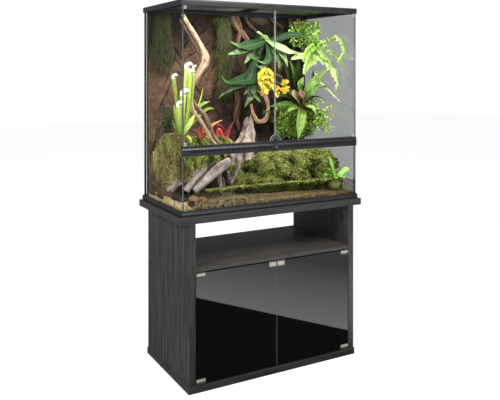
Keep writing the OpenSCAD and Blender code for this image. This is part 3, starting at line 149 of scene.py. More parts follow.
class Pile:
    """Gathers strips, tubes and blades into one mesh. Each vertex has a tone,
    its place along its leaf from 0 to 1, and its place across it from -1 to 1."""

    def __init__(self):
        self.co, self.marks, self.faces, self.count = [], [], [], 0

    def add(self, co, faces, tone, along=0.5, side=0.0):
        co = np.asarray(co, float).reshape(-1, 3)
        marks = np.zeros((len(co), 3))
        for k, value in enumerate((tone, along, side)):
            marks[:, k] = np.broadcast_to(np.asarray(value, float).ravel(), len(co))
        self.co.append(co)
        self.marks.append(marks)
        self.faces.append(np.asarray(faces, int) + self.count)
        self.count += len(co)

    def grid(self, co, tone=0.5, along=None, side=None, closed=False):
        """A sheet over a grid of points; closed joins its last column to its first."""
        rows, cols = co.shape[:2]
        index = np.arange(rows * cols).reshape(rows, cols)
        if closed:
            index = np.concatenate([index, index[:, :1]], axis=1)
        quads = np.stack([index[:-1, :-1], index[:-1, 1:], index[1:, 1:], index[1:, :-1]], -1)
        if along is None:
            along = np.repeat(np.linspace(0, 1, rows), cols)
        if side is None:
            side = np.tile(np.linspace(-1, 1, cols), rows)
        self.add(co, quads.reshape(-1, 4), tone, along, side)

    def caps(self, rows, cols, hubs, tone, along=(0.5, 0.5)):
        """Fans that close both ends of the closed grid that was just added."""
        start = self.count - rows * cols
        for row, flip, hub, place in ((0, 1, hubs[0], along[0]), (rows - 1, -1, hubs[1], along[1])):
            ring = start + row * cols + np.arange(cols)[::flip] - self.count
            self.add([hub], np.stack([np.zeros(cols, int), np.roll(ring, -1), ring], -1), tone, place)

    def leaf(self, points, widths, facing, cup, steps, across, tone, ruffle=0.0):
        """A blade along points, with half widths in millimetres."""
        p = smooth(points, steps)
        w = np.maximum(smooth(widths, steps), 0.4) * MM
        t = unit(np.gradient(p, axis=0))
        s = unit(np.cross(t, facing))
        n = unit(np.cross(s, t))
        n *= np.sign(n @ np.asarray(facing, float))[:, None]
        u = np.linspace(-1, 1, across + 1)
        wave = ruffle * np.sin(np.linspace(0, 5 * math.pi, steps + 1))[:, None] * u
        lift = (cup * u**2 + wave) * w[:, None]
        self.grid(p[:, None] + s[:, None] * (w[:, None] * u)[..., None] + n[:, None] * lift[..., None], tone)

    def tube(self, points, radii, sides=10, steps=24, tone=0.5, ridge=0.0, twist=2.0, flat=1.0):
        """A closed limb along points, with radii in millimetres; ridge gives its bark twisted ribs."""
        p = smooth(points, steps)
        r = np.maximum(smooth(radii, steps), 0.3) * MM
        t = unit(np.gradient(p, axis=0))
        s = unit(np.cross(t, (0.3, -0.9, 0.2)))
        n = np.cross(s, t)
        angle = np.linspace(0, 2 * math.pi, sides, endpoint=False)
        turn = np.linspace(0, twist * math.pi, steps + 1)[:, None]
        rib = np.sin(3 * angle + turn) * 0.5 + np.sin(5 * angle - 0.7 * turn + 1) * 0.3
        rib = rib + 0.25 * np.sin(9 * angle + 13 * np.sin(turn))
        grow = r[:, None] * (1 + ridge * rib)
        co = (p[:, None] + s[:, None] * (grow * np.cos(angle))[..., None]
              + n[:, None] * (grow * flat * np.sin(angle))[..., None])
        # With ridges the tone rises on the ribs and falls between them: painted shade in the grooves.
        self.grid(co, tone + 0.25 * rib.ravel() * (ridge > 0), closed=True)
        self.caps(steps + 1, sides, (p[0], p[-1]), tone, (0, 1))

    def blades(self, roots, ways, length, width, droop=0.3, tone=0.5):
        """Many small bent blades at once, each of two steps."""
        roots, ways = np.asarray(roots, float), unit(np.asarray(ways, float))
        n = len(roots)
        length = np.broadcast_to(length, n)[:, None]
        side = unit(np.cross(ways, unit(rng.normal(size=(n, 3))))) * np.broadcast_to(width, n)[:, None]
        mid = roots + ways * length * 0.55
        tip = roots + ways * length - np.array((0, 0, 1)) * length * droop
        co = np.stack([roots - side * 0.35, roots + side * 0.35, mid - side * 0.5, mid + side * 0.5, tip],
                      axis=1)
        base = 5 * np.arange(n)[:, None]
        self.add(co, base + np.array((0, 1, 3, 2)), np.repeat(np.broadcast_to(tone, n), 5),
                 np.tile((0, 0, 0.55, 0.55, 1.0), n), np.tile((-1, 1, -1, 1, 0), n))
        self.faces.append(base + np.array((2, 3, 4)) + self.count - 5 * n)

    def build(self, name, mat, slot=None, *replaces, thick=0.0):
        """Makes the piece; replaces names the nodes it stands for."""
        co, marks = np.clip(np.concatenate(self.co), TANK_LOW, TANK_HIGH), np.concatenate(self.marks)
        sizes = np.concatenate([np.full(len(f), f.shape[1]) for f in self.faces])
        loops = np.concatenate([f.ravel() for f in self.faces])
        me = bpy.data.meshes.new(name)
        me.vertices.add(len(co))
        me.vertices.foreach_set("co", co.ravel())
        me.loops.add(len(loops))
        me.loops.foreach_set("vertex_index", loops)
        me.polygons.add(len(sizes))
        me.polygons.foreach_set("loop_start", np.concatenate([[0], np.cumsum(sizes)[:-1]]))
        me.update(calc_edges=True)
        for k, title in enumerate(("tone", "along", "side")):
            me.attributes.new(title, "FLOAT", "POINT").data.foreach_set("value",
                                                                        marks[:, k].astype(np.float32))
        me.polygons.foreach_set("use_smooth", np.ones(len(sizes), bool))
        me.materials.append(mat)
        made = linked(name, me)
        if thick:
            solid = made.modifiers.new("thickness", "SOLIDIFY")
            solid.thickness = thick * MM
            solid.offset = 0
        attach(made, "root")
        if replaces:
            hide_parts(*replaces)


# ---------- materials ----------


def rgb(tone):
    """A colour from one grey tone or from red, green and blue."""
    return (*np.broadcast_to(tone, 3).tolist(), 1.0)


def times(share, tones):
    return [share * tone for tone in tones]


class Paint:
    """A material under construction: nodes are added and linked by short calls."""

    def __init__(self, name):
        self.mat = bpy.data.materials.new(name)
        self.mat.use_nodes = True
        self.tree = self.mat.node_tree
        self.bsdf = self.tree.nodes["Principled BSDF"]
        self.place = self.add("TexCoord").outputs["Object"]

    def add(self, kind, sockets=None, **props):
        made = self.tree.nodes.new("ShaderNode" + kind)
        for key, value in props.items():
            setattr(made, key, value)
        for key, value in (sockets or {}).items():
            self.put(made.inputs[key], value)
        return made

    def put(self, socket, value):
        if isinstance(value, bpy.types.NodeSocket):
            self.tree.links.new(value, socket)
        else:
            socket.default_value = rgb(value) if socket.type == "RGBA" else value

    def set(self, **values):
        for key, value in values.items():
            self.put(self.bsdf.inputs[key.replace("_", " ")], value)
        return self.mat

    def axis(self, name):
        return self.add("SeparateXYZ", {0: self.place}).outputs[name]

    def mark(self, title):
        return self.add("Attribute", attribute_name=title).outputs["Fac"]

    def scaled(self, x, y, z):
        return self.add("Mapping", {"Vector": self.place, "Scale": (x, y, z)}).outputs["Vector"]

    def noise(self, scale, detail=4.0, rough=0.55, vector=None, twist=0.0):
        return self.add("TexNoise", {"Vector": vector or self.place, "Scale": scale, "Detail": detail,
                                     "Roughness": rough, "Distortion": twist}).outputs["Fac"]

    def cells(self, scale, out="Distance"):
        return self.add("TexVoronoi", {"Vector": self.place, "Scale": scale}).outputs[out]

    def maths(self, kind, *values):
        made = self.add("Math", operation=kind)
        for k, value in enumerate(values):
            self.put(made.inputs[k], value)
        return made.outputs[0]

    def within(self, value, low, high):
        """1 where a value lies between two others, else 0."""
        off = self.maths("ABSOLUTE", self.maths("SUBTRACT", value, (low + high) / 2))
        return self.maths("LESS_THAN", off, (high - low) / 2)

    def shifted(self, value, other, share):
        """A value moved up and down by a share of another that lies about one half."""
        return self.maths("ADD", value, self.maths("MULTIPLY", self.maths("SUBTRACT", other, 0.5), share))

    def ramp(self, fac, *stops):
        made = self.add("ValToRGB", {"Fac": fac})
        bar = made.color_ramp.elements
        while len(bar) < len(stops):
            bar.new(0.5)
        for one, (place, _) in zip(bar, stops):
            one.position = place
        for one, (_, tone) in zip(bar, stops):
            one.color = rgb(tone)
        return made.outputs["Color"]

    def mix(self, fac, a, b):
        made = self.add("Mix", data_type="RGBA")
        for k, value in ((0, fac), (6, a), (7, b)):
            self.put(made.inputs[k], value)
        return made.outputs[2]

    def bump(self, height, strength=0.4, distance=0.001):
        return self.add("Bump", {"Height": height, "Strength": strength,
                                 "Distance": distance}).outputs["Normal"]

    def blend(self, fac, a, b):
        made = self.add("MixShader", {0: fac})
        for k, shader in ((1, a), (2, b)):
            self.tree.links.new(shader.outputs[0], made.inputs[k])
        return made

    def clear(self, tint, ior, shine, **gloss):
        """See-through, with a reflection that grows at a flat angle."""
        fresnel = self.add("Fresnel", {"IOR": ior}).outputs[0]
        return self.blend(self.maths("MULTIPLY", fresnel, shine),
                          self.add("BsdfTransparent", {"Color": tint}),
                          self.add("BsdfGlossy", gloss))

    def surface(self, shader):
        self.tree.links.new(shader.outputs[0], self.tree.nodes["Material Output"].inputs["Surface"])
        return self.mat


def board(name, grain, low, high, warm=(1.0, 0.95, 0.90)):
    """Black-brown melamine with a printed and pressed wood grain; faces turned to the
    front get half the tone as painted shade; grain scales X, Y and Z."""
    p = Paint(name)
    streak = p.noise(1.0, 7, 0.62, p.scaled(*grain), 0.6)
    pores = p.maths("POWER", p.noise(1.0, 3, 0.6, p.scaled(*times(4.5, grain)), 0.2), 3.0)
    both = p.maths("MULTIPLY_ADD", pores, 0.9, streak)
    face = p.ramp(both, *[(place, times(tone, warm))
                          for place, tone in ((0.47, low), (0.60, 0.42 * high), (0.76, high))])
    # Faces turned to the front are painted at half tone: painted shade.
    normal = p.add("SeparateXYZ", {0: p.add("NewGeometry").outputs["True Normal"]}).outputs["Y"]
    return p.set(Base_Color=p.mix(p.maths("LESS_THAN", normal, -0.5), face, p.mix(0.5, face, 0.0)),
                 Roughness=p.ramp(both, (0.3, 0.42), (0.9, 0.6)), Normal=p.bump(both, 0.55, 0.0006))


BLACK = (0.014, 0.015, 0.017)


def plastic(name, shade=BLACK, rough=0.36, grain=900.0, gloss=0.5):
    """Moulded plastic: a fine spark-eroded grain and faint handling marks."""
    p = Paint(name)
    marks = p.noise(14, 5, 0.6)
    return p.set(Base_Color=p.ramp(marks, (0.3, times(0.8, shade)), (0.75, times(1.35, shade))),
                 Roughness=p.ramp(marks, (0.3, rough - 0.05), (0.8, rough + 0.1)),
                 Normal=p.bump(p.noise(grain, 2), 0.12, 0.0002), Specular_IOR_Level=gloss)


def metal(name, shade, rough=0.26):
    """Plated metal brushed along X."""
    p = Paint(name)
    brushed = p.noise(1.0, 4, 0.6, p.scaled(60, 900, 900))
    return p.set(Base_Color=p.ramp(brushed, (0.2, times(0.82, shade)), (0.8, shade)),
                 Roughness=p.ramp(brushed, (0.2, rough), (0.8, rough + 0.14)),
                 Normal=p.bump(brushed, 0.15, 0.0001), Metallic=1.0)


def plated(name, tiles):
    """Brushed nickel clips; each tile is the bright face x0, x1, z0, z1; around and below it the clip is
    painted near black, partly a gasket line and partly painted shadow.
    """
    p = Paint(name)
    brushed = p.noise(1.0, 4, 0.6, p.scaled(60, 900, 900))
    bright = 0.0
    for x0, x1, z0, z1 in tiles:
        inside = p.maths("MULTIPLY", p.within(p.axis("X"), x0, x1), p.within(p.axis("Z"), z0, z1))
        bright = p.maths("MAXIMUM", inside, bright)
    face = p.ramp(brushed, (0.2, (0.29, 0.275, 0.225)), (0.8, (0.42, 0.40, 0.33)))
    # Outside the tiles the clip is painted near black: a gasket line and painted shadow.
    return p.set(Base_Color=p.mix(bright, (0.06, 0.055, 0.05), face),
                 Roughness=p.ramp(brushed, (0.2, 0.45), (0.8, 0.6)), Normal=p.bump(bright, 0.5, 0.0006),
                 Metallic=0.3)


def ringed(name, height, rings, light=(0.20, 0.21, 0.215)):
    """Black moulding with polished light rings about X 0 at a height; each ring
    runs from one radius to the next, in metres."""
    p = Paint(name)
    off = p.add("VectorMath", {0: p.place, 1: (0, 0, height)}, operation="SUBTRACT")
    off = p.add("VectorMath", {0: off.outputs[0], 1: (1, 0, 1)}, operation="MULTIPLY")
    reach = p.add("VectorMath", {0: off.outputs[0]}, operation="LENGTH").outputs["Value"]
    ring = 0.0
    for low, high in rings:
        ring = p.maths("MAXIMUM", p.within(reach, low, high), ring)
    marks = p.noise(14, 5, 0.6)
    dark = p.ramp(marks, (0.3, times(0.8, BLACK)), (0.75, times(1.35, BLACK)))
    return p.set(Base_Color=p.mix(ring, dark, light), Roughness=p.ramp(marks, (0.3, 0.3), (0.8, 0.45)),
                 Normal=p.bump(p.noise(900, 2), 0.12, 0.0002))


def pane(name, axis, clear, far=None, shine=0.5):
    """Float glass: see-through, with a reflection that grows at a flat angle, and
    green-grey edges. axis is the pane's thin direction, far its tint at a flat angle."""
    p = Paint(name)
    own = p.add("VectorTransform", {0: p.add("NewGeometry").outputs["True Normal"]}, vector_type="NORMAL",
                convert_from="WORLD", convert_to="OBJECT")
    thin = p.add("SeparateXYZ", {0: own.outputs[0]}).outputs[axis]
    p.set(Base_Color=p.ramp(p.noise(6, 3), (0.3, (0.05, 0.058, 0.056)), (0.8, (0.11, 0.125, 0.12))),
          Roughness=0.12)
    facing = p.add("LayerWeight", {"Blend": 0.5}).outputs["Facing"]
    tint = p.ramp(facing, (0.0, clear), (0.42, far or clear))
    body = p.clear(tint, 1.3, shine, Color=1.0, Roughness=0.03)
    return p.surface(p.blend(p.maths("GREATER_THAN", p.maths("ABSOLUTE", thin), 0.5), p.bsdf, body))


def haze(name, grain, dark, light, rough, alpha, **more):
    """Translucent or thin stuff; alpha is a number or makes a socket from the paint."""
    p = Paint(name)
    return p.set(Base_Color=p.ramp(p.noise(grain, 2), (0.3, dark), (0.8, light)), Roughness=rough,
                 Alpha=alpha(p) if callable(alpha) else alpha, **more)


def foliage(name, dark, mid, light, rough=0.38, rib=0.35, scale=90.0, coat=0.2, tip=None, foot=None):
    """A leaf: darker at its foot, with a pale midrib, fine side veins and blotches."""
    p = Paint(name)
    blotch = p.noise(scale, 3)
    value = p.maths("ADD", p.maths("MULTIPLY", p.mark("tone"), 0.7),
                    p.maths("MULTIPLY", p.mark("along"), 0.22))
    colour = p.ramp(p.shifted(value, blotch, 0.5), (0.12, dark), (0.5, mid), (0.9, light))
    line = p.ramp(p.maths("ABSOLUTE", p.mark("side")), (0.0, rib), (0.14, 0.0))
    colour = p.mix(line, colour, [min(1.0, 1.35 * c + 0.03) for c in light])
    for end, stops in ((tip, ((0.72, 0.0), (0.95, 0.85))), (foot, ((0.16, 0.85), (0.36, 0.0)))):
        if end:
            colour = p.mix(p.ramp(p.mark("along"), *stops), colour, end)
    veins = p.add("TexWave", {"Vector": p.place, "Scale": scale * 1.6, "Distortion": 2.0, "Detail": 1.0})
    return p.set(Base_Color=colour, Roughness=p.ramp(blotch, (0.3, rough), (0.8, rough + 0.16)),
                 Normal=p.bump(veins.outputs["Fac"], 0.14, 0.0006), Coat_Weight=coat, Coat_Roughness=0.25)


def bark(name, dark, mid, light, grain=(160, 160, 18), rough=0.78, depth=0.0025):
    """Bare wood or bark: streaks along the grain, with darker cracks."""
    p = Paint(name)
    streak = p.noise(1.0, 6, 0.66, p.scaled(*grain), 1.2)
    value = p.maths("ADD", p.maths("MULTIPLY", streak, 0.75), p.maths("MULTIPLY", p.mark("tone"), 0.5))
    value = p.shifted(value, p.noise(38, 4, 0.6), 0.5)
    return p.set(Base_Color=p.ramp(value, (0.32, dark), (0.58, mid), (0.86, light)),
                 Roughness=p.ramp(streak, (0.3, rough - 0.1), (0.7, rough + 0.1)), Normal=p.bump(streak,
                                                                                                 0.8, depth))


def mossy(name, dark, mid, light, brown=(0.16, 0.10, 0.04), share=0.42):
    """Living moss: gaps painted dark as shade, tips painted lighter as lit, and patches gone brown."""
    p = Paint(name)
    fine = p.noise(260, 3, 0.6)
    value = p.maths("ADD", p.maths("MULTIPLY", p.mark("tone"), 0.55),
                    p.maths("MULTIPLY", p.mark("along"), 0.45))
    green = p.ramp(p.shifted(value, fine, 0.35), (0.1, dark), (0.45, mid), (0.92, light))
    old = p.ramp(p.noise(13, 3, 0.5), (1 - share, 0.0), (1.1 - share, 0.75))
    return p.set(Base_Color=p.mix(old, green, p.mix(0.6, green, brown)), Normal=p.bump(fine, 0.8, 0.003),
                 Roughness=0.85, Specular_IOR_Level=0.15)


def dress(mat, *titles):
    for title in titles:
        NODES[title].data.materials[0] = mat


# ---------- casework ----------

dress(board("grain_upright", (230, 230, 4.0), 0.005, 0.078), "side_panel_left", "side_panel_right")
dress(board("grain_level", (4.5, 290, 290), 0.010, 0.078), "plinth", "top_board")
# The shelf's melamine is lighter and warmer than the other boards: painted sheen.
dress(board("grain_shelf", (4.5, 290, 290), 0.020, 0.125, (1.0, 0.9, 0.78)), "shelf")
dress(board("back_board", (1.2, 30, 30), 0.008, 0.02), "back_panel")
dress(bark("beech", (0.42, 0.29, 0.16), (0.62, 0.46, 0.28), (0.74, 0.58, 0.38), (300, 300, 30), 0.6, 0.0003),
      "board_dowels")

p = Paint("door_glass")
inner_edge = p.maths("LESS_THAN", p.maths("ABSOLUTE", p.axis("X")), 0.0028)
black_glass = p.set(Base_Color=p.mix(inner_edge, (0.0006, 0.0007, 0.0011), (0.040, 0.043, 0.041)),
                    Roughness=p.ramp(p.noise(5, 4, 0.6), (0.35, 0.015), (0.9, 0.05)), IOR=1.5,
                    Specular_IOR_Level=0.45)

steel = metal("zinc_steel", (0.5, 0.5, 0.5), 0.3)
black = plastic("black_moulding")
white = plastic("white_moulding", (0.62, 0.62, 0.6), 0.4)
clear_plastic = haze("clear_plastic", 220, (0.40, 0.43, 0.41), (0.56, 0.60, 0.57), 0.22, lambda p: p.mix(
    p.ramp(p.maths("MULTIPLY", p.maths("ABSOLUTE", p.axis("X")), 100.0), (0.13, 1.0),
           (0.17, 0.0)), 0.03, 0.8))
shoe_plastic = haze("shoe_plastic", 220, (0.34, 0.36, 0.35), (0.48, 0.51, 0.49), 0.25, 0.42)
door_pane = pane("pane_door", "Y", (0.985, 0.99, 0.985), None, 0.06)
for side, hand in (("left", -1), ("right", 1)):
    corner, strike = sorted((0.3915 * hand, 0.3510 * hand)), sorted((0.0035 * hand, 0.0390 * hand))
    for title, mat in (
            ("cabinet_door", black_glass), ("clip_screws", steel), ("latch_plunger",
                                                                    white), ("screen_latch", black),
            ("cable_gate", black), ("tank_door", door_pane), ("edge_seal", clear_plastic),
            ("pivot_shoes", shoe_plastic),
            ("corner_clips", plated("clip_nickel_" + side,
                                    ((*corner, 0.4842, 0.4955), (*corner, 0.0428, 0.0545)))),
            ("strike_clip", plated("strike_nickel_" + side, ((*strike, 0.4768, 0.4955),))),
            ("door_handle", ringed("handle_" + side, 1.031, ((0.0150, 0.0170), (0.0245, 0.0285))))):
        dress(mat, f"{title}_{side}")
dress(steel, "cam_locks")
dress(plastic("black_satin", (0.012, 0.0125, 0.014), 0.5, 600), "pivot_bushes", "touch_latches")
dress(black, "base_frame", "vent_strip", "top_frame", "screen_frame")

# ---------- tank ----------

dress(pane("pane_left", "X", (0.97, 0.985, 0.975), (0.93, 0.935, 0.92), 0.03), "glass_left")
# The right pane turns far greyer at a flat angle than the left one: painted shade over what shows through
# it.
dress(pane("pane_right", "X", (0.90, 0.92, 0.92), (0.64, 0.643, 0.655), 0.25), "glass_right")
dress(pane("pane_back", "Y", (0.9, 0.93, 0.91)), "glass_back")
dress(pane("pane_front", "Y", (0.98, 0.99, 0.985), None, 0.08), "glass_front")
dress(pane("pane_bottom", "Z", (0.9, 0.93, 0.91)), "glass_bottom")
dress(ringed("lock_plastic", 1.004, ((0.0030, 0.0050),)), "lock_knob")
dress(plastic("vent_wire", (0.002, 0.002, 0.002), 0.7, 1500, 0.05), "vent_mesh")
dress(haze("woven_wire", 300, 0.02, 0.06, 0.45, lambda p: p.maths("MAXIMUM", *[
    p.maths("LESS_THAN", p.maths("FRACT", p.maths("MULTIPLY", p.axis(a), 480.0)), 0.48) for a in "XY"]),
           Metallic=0.6), "screen_mesh")
p = Paint("silicone")
dress(p.set(Base_Color=p.ramp(p.noise(60, 3), (0.3, 0.012), (0.8, 0.03)),
            Normal=p.bump(p.noise(120, 3), 0.3, 0.0006),
            Roughness=0.42), "silicone_seams")

# ---------- rock background ----------

COLUMNS = (  # picture points, half width and tone
    (((231, 12), (234, 22), (240, 31), (247, 39), (250, 47)), 13, 0.62),
    (((236, 14), (240, 28), (238, 44), (240, 58), (245, 72), (246, 88)), 11, 0.5),
    (((243, 13), (249, 24), (256, 31)), 9, 0.35),
    (((296, 12), (299, 24), (298, 36), (303, 47), (300, 60)), 12, 0.72),
    (((304, 12), (305, 24), (306, 40), (303, 52)), 11, 0.6),
    (((289, 12), (291, 22), (296, 38), (293, 52)), 10, 0.3),
    (((236, 92), (238, 104), (236, 118), (240, 130)), 14, 0.55),
    (((268, 12), (272, 20), (283, 28)), 9, 0.3))


def cracks(x, z, count, seed):
    """Long thin cracks that mostly lean one way, from 0 to 1 at their middle."""
    own = np.random.default_rng(seed)
    out = np.zeros_like(x)
    for k in range(count):
        cx, cz = own.uniform(x.min(), x.max()), own.uniform(z.min() + 0.1, z.max())
        a = math.radians(own.choice((60, 52, 68, 128, 40)) + own.normal() * 8)
        length = own.uniform(0.03, 0.15)
        s = (x - cx) * math.cos(a) + (z - cz) * math.sin(a)
        d = (z - cz) * math.cos(a) - (x - cx) * math.sin(a) + 0.008 * waves(x, z, seed + k, 2, 28)
        out = np.maximum(out, np.exp(-((s / length) ** 4) - (d / own.uniform(0.0014, 0.0042)) ** 2))
    return out


def rock():
    low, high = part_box("rock_background")
    crest = high.z + 0.0065
    x, z = np.meshgrid(np.linspace(low.x, high.x, 330), np.linspace(low.z, crest, 320))
    big, ledge = waves(x, z, 3, 3, 9), np.abs(waves(x + 0.35 * z, z, 13, 4, 17))
    rough, grit = waves(x, z, 5, 5, 55), waves(x, z, 6, 4, 240)
    gap = cracks(x, z, 64, 90)
    relief = 0.010 + 0.005 * big - 0.005 * ledge + 0.0022 * rough + 0.0011 * grit + 0.007 * gap
    y = np.clip(low.y + relief, low.y - 0.001, low.y + 0.024)
    # The tone is darker wherever the relief sinks back and darkest in the cracks: painted shade.
    shade = 0.60 - 0.16 * big + 0.16 * ledge - 0.14 * rough - 0.08 * grit - 0.62 * gap
    # A dark hollow in the middle and the whole right part, which the relief doesn't have: painted shade.
    cave_shade = (np.exp(-((x - 0.10) / 0.17) ** 2 - ((z - 1.43) / 0.30) ** 2)
            + np.exp(-((x - 0.13) / 0.24) ** 2 - ((z - 1.1) / 0.14) ** 2) + 0.6 * (x > 0.3))
    shade = np.clip(shade, 0.02, 1) * (1 - 0.72 * np.clip(cave_shade * (1 + 0.5 * rough), 0, 1))
    # The top is darkened by height: painted shade.
    shade *= 1 - 0.78 * ease((z - 1.36) / 0.2)
    pile = Pile()
    co = np.stack([x, y, z], -1)
    pile.grid(co[:, ::-1], shade[:, ::-1], 0.5, waves(x, z, 21, 3, 9)[:, ::-1])
    edge = rim(co)
    pile.grid(np.stack([edge, edge * (1, 0, 1) + (0, high.y, 0)]), 0.3, 0.5, 0.0, closed=True)
    corners = (low.x, low.z), (high.x, low.z), (high.x, crest), (low.x, crest)
    pile.add([(a, high.y, b) for a, b in corners], [[0, 1, 2, 3]], 0.3)
    for way, girth, tone in COLUMNS:
        pile.tube(route(*[(u, v, 184) for u, v in way]), times(girth, (1, 1.2, 0.8)), 20, 50, tone, 0.2, 4,
                  0.8)
    p = Paint("rock_foam")
    fine = p.noise(70, 6, 0.68, None, 0.8)
    value = p.shifted(p.maths("MULTIPLY", p.mark("tone"), 0.85), fine, 0.5)
    red = p.ramp(value, (0.04, (0.004, 0.003, 0.002)), (0.30, (0.040, 0.020, 0.012)),
                 (0.58, (0.135, 0.068, 0.038)), (0.95, (0.32, 0.20, 0.12)))
    tan = p.mix(0.6, red, (0.15, 0.105, 0.058))
    p.set(Base_Color=p.mix(p.ramp(p.mark("side"), (0.45, 0.0), (0.75, 0.8)), red, tan),
          Normal=p.bump(fine, 0.9, 0.004), Roughness=0.82)
    pile.build("rock_wall", p.mat, "rock_foam", "rock_background")


rock()

# ---------- moss; lengths in millimetres ----------

SOIL = 440.5  # half the soil's width
GROW = 187.2  # its rear edge
GRAVEL_HIGH, GRAVEL_LOW = 788.0, 768.0
WATER = 821.0
MOUND_X = -392.0
# where the moss ends on the left pane, and the plan of the bare soil under it, in metres
EDGE_Y = (-0.22, -0.157, -0.12, -0.069, -0.01, 0.073, 0.136, 0.19)
EDGE_Z = (0.905, 0.912, 0.875, 0.840, 0.834, 0.857, 0.925, 0.935)
SOIL_PLAN = (
    (-0.4392, 0.187), (-0.4392, 0.09), (-0.4392, 0.0), (-0.430, -0.03), (-0.420, -0.06), (-0.408, -0.09),
    (-0.390, -0.10), (-0.370, -0.09), (-0.358, -0.05), (-0.30, 0.0), (-0.25, 0.03))
# hollows of the right hill, painted dark as shade: picture point, half width, half height and depth
DENTS = ((313, 172, 5, 9, 40), (262, 176, 4, 5, 26), (244, 170, 5, 6, 26), (290, 162, 3, 4, 22),
         (256, 166, 5, 4, 16), (330, 168, 4, 3, 18), (276, 170, 3, 5, 16))
LIP = ((184, 172, -170), (192, 170.5, -155), (200, 169, -135), (207, 168.5, -115), (213, 166, -95),
       (221, 158, -70), (228, 150, -50))
RIDGE = ((184, 143, -90), (195, 141.5, -50), (204, 140.5, -20), (211, 140, 0), (218, 140, 20),
         (225, 141, 30), (230, 144, 35))
BANK = ((207, 190, -155), (215, 189, -150), (240, 186.5, -130), (270, 184.5, -130), (300, 183, -140),
        (325, 181, -150), (345, 179, -160))


def lumps(x, y):
    """The soil's slow waves, as in the solids."""
    d = np.radians
    return 0.5 + 0.25 * np.sin(d(3.1 * x + 1.7 * y)) + 0.25 * np.sin(d(2.3 * y - 4.3 * x + 40))


def past_mound(x):
    return ease((x - MOUND_X) / 24)


def left_front(x):
    return -220 + (1 - past_mound(x)) * 58 + past_mound(x) * (168 + 0.22 * (x + SOIL))


def left_hill(x, y):
    start = ease((y - left_front(x) + 14) / (60 + 130 * past_mound(x)))
    side = np.exp(-((np.maximum(0, x + 372) / 100) ** 2))
    fall = 105 * ease((y + 40) / 200)
    return GRAVEL_HIGH + 12 + start * side * (245 - fall) + 10 * lumps(x * 1.6, y * 1.6)


def shore(x):
    return -20 - 0.25 * (x + 85)


def right_hill(x, y):
    s = np.maximum(y - shore(x), 0)
    return (GRAVEL_LOW + 30 + 142 * (1 - np.exp(-s / 75)) * (0.72 + 0.28 * ease((x + 90) / 260))
            + 20 * lumps(x * 1.3, y * 1.5))


def cushions(x, s, seed, count, radius):
    """Rounded cushions at random: 0 in the gaps between them, 1 on their tops."""
    own = np.random.default_rng(seed)
    out = np.zeros(x.shape)
    for _ in range(count):
        cx, cs, r = own.uniform(x.min(), x.max()), own.uniform(0, s.max()), own.uniform(*radius)
        out = np.maximum(out, np.sqrt(np.clip(1 - ((x - cx) ** 2 + (s - cs) ** 2) / r**2, 0, 1)))
    return out


def hillock(x, y, z, puff, seed, count, radius, dents=()):
    """Moss cushions over a grid, painted dark as shade in the gaps between them and in the dents; each dent
    is u, v, its width and height in pixels and its depth.
    """
    co = np.stack([x, y, z], -1) * MM
    step = np.linalg.norm(np.diff(co, axis=0), axis=-1) / MM
    s = np.concatenate([np.zeros((1, x.shape[1])), np.cumsum(step, 0)])
    high = cushions(x, s, seed, count, radius)
    n = unit(np.cross(np.gradient(co, axis=1), np.gradient(co, axis=0)))
    n = n * np.sign(n[..., 2:3])
    rough = waves(x * MM, s * MM, seed, 4, 90)
    # Tone falls in the gaps between cushions: painted shade.
    tone = np.clip(0.04 + 0.66 * high**1.6 + 0.1 * rough, 0, 1)
    lift = puff * (high - 0.55) + 2.5 * rough
    u, v = seen(co)
    # Each dent sinks the moss and paints it dark as shade.
    for u0, v0, wide, tall, depth in dents:
        deep = np.exp(-((u - u0) / wide) ** 2 - ((v - v0) / tall) ** 2)
        lift -= depth * deep
        tone *= 1 - 0.95 * deep
    co = co + n * (lift * MM)[..., None]
    co[..., 0] = np.clip(co[..., 0], -SOIL * MM, SOIL * MM)
    co[..., 1] = np.minimum(co[..., 1], GROW * MM - 0.0005)
    return co, tone


def skirt(pile, edge, foot, tone):
    """A wall of moss from an edge of points straight down to a height."""
    t = np.linspace(0, 1, 24)[:, None, None]
    wall = edge[None] * (1, 1, 0) + (0, 0, 1) * ((1 - t) * foot + t * edge[None, :, 2:3])
    tones = tone + 0.25 * waves(wall[..., 0] + wall[..., 1], wall[..., 2], 44, 4, 60)
    pile.grid(wall, tones, 0.1)
    return wall, tones


def tufts(pile, co, count, length, width, tone, spread=0.9, droop=0.25, each=7, up=(0, -0.45, 0.9)):
    """Star-like tufts set at random over a grid of points; tone may be a grid too."""
    rows, cols = co.shape[:2]
    r, c = rng.uniform(0, rows - 1.001, count), rng.uniform(0, cols - 1.001, count)
    i, j = r.astype(int), c.astype(int)
    a, b = (r - i)[:, None], (c - j)[:, None]
    p = (co[i, j] * (1 - a) * (1 - b) + co[i + 1, j] * a * (1 - b)
         + co[i, j + 1] * (1 - a) * b + co[i + 1, j + 1] * a * b)
    local = np.broadcast_to(tone, (rows, cols))[i, j]
    roots = np.repeat(p, each, axis=0)
    ways = unit(np.array(up) + rng.normal(size=roots.shape) * spread)
    n = len(roots)
    size = np.repeat(rng.uniform(0.6, 1.3, count), each) * rng.uniform(0.8, 1.15, n)
    shade = np.repeat(local + rng.normal(0, 0.13, count), each) + rng.normal(0, 0.06, n)
    pile.blades(roots, ways, length * MM * size, width * MM * size, droop, np.clip(shade, 0, 1))


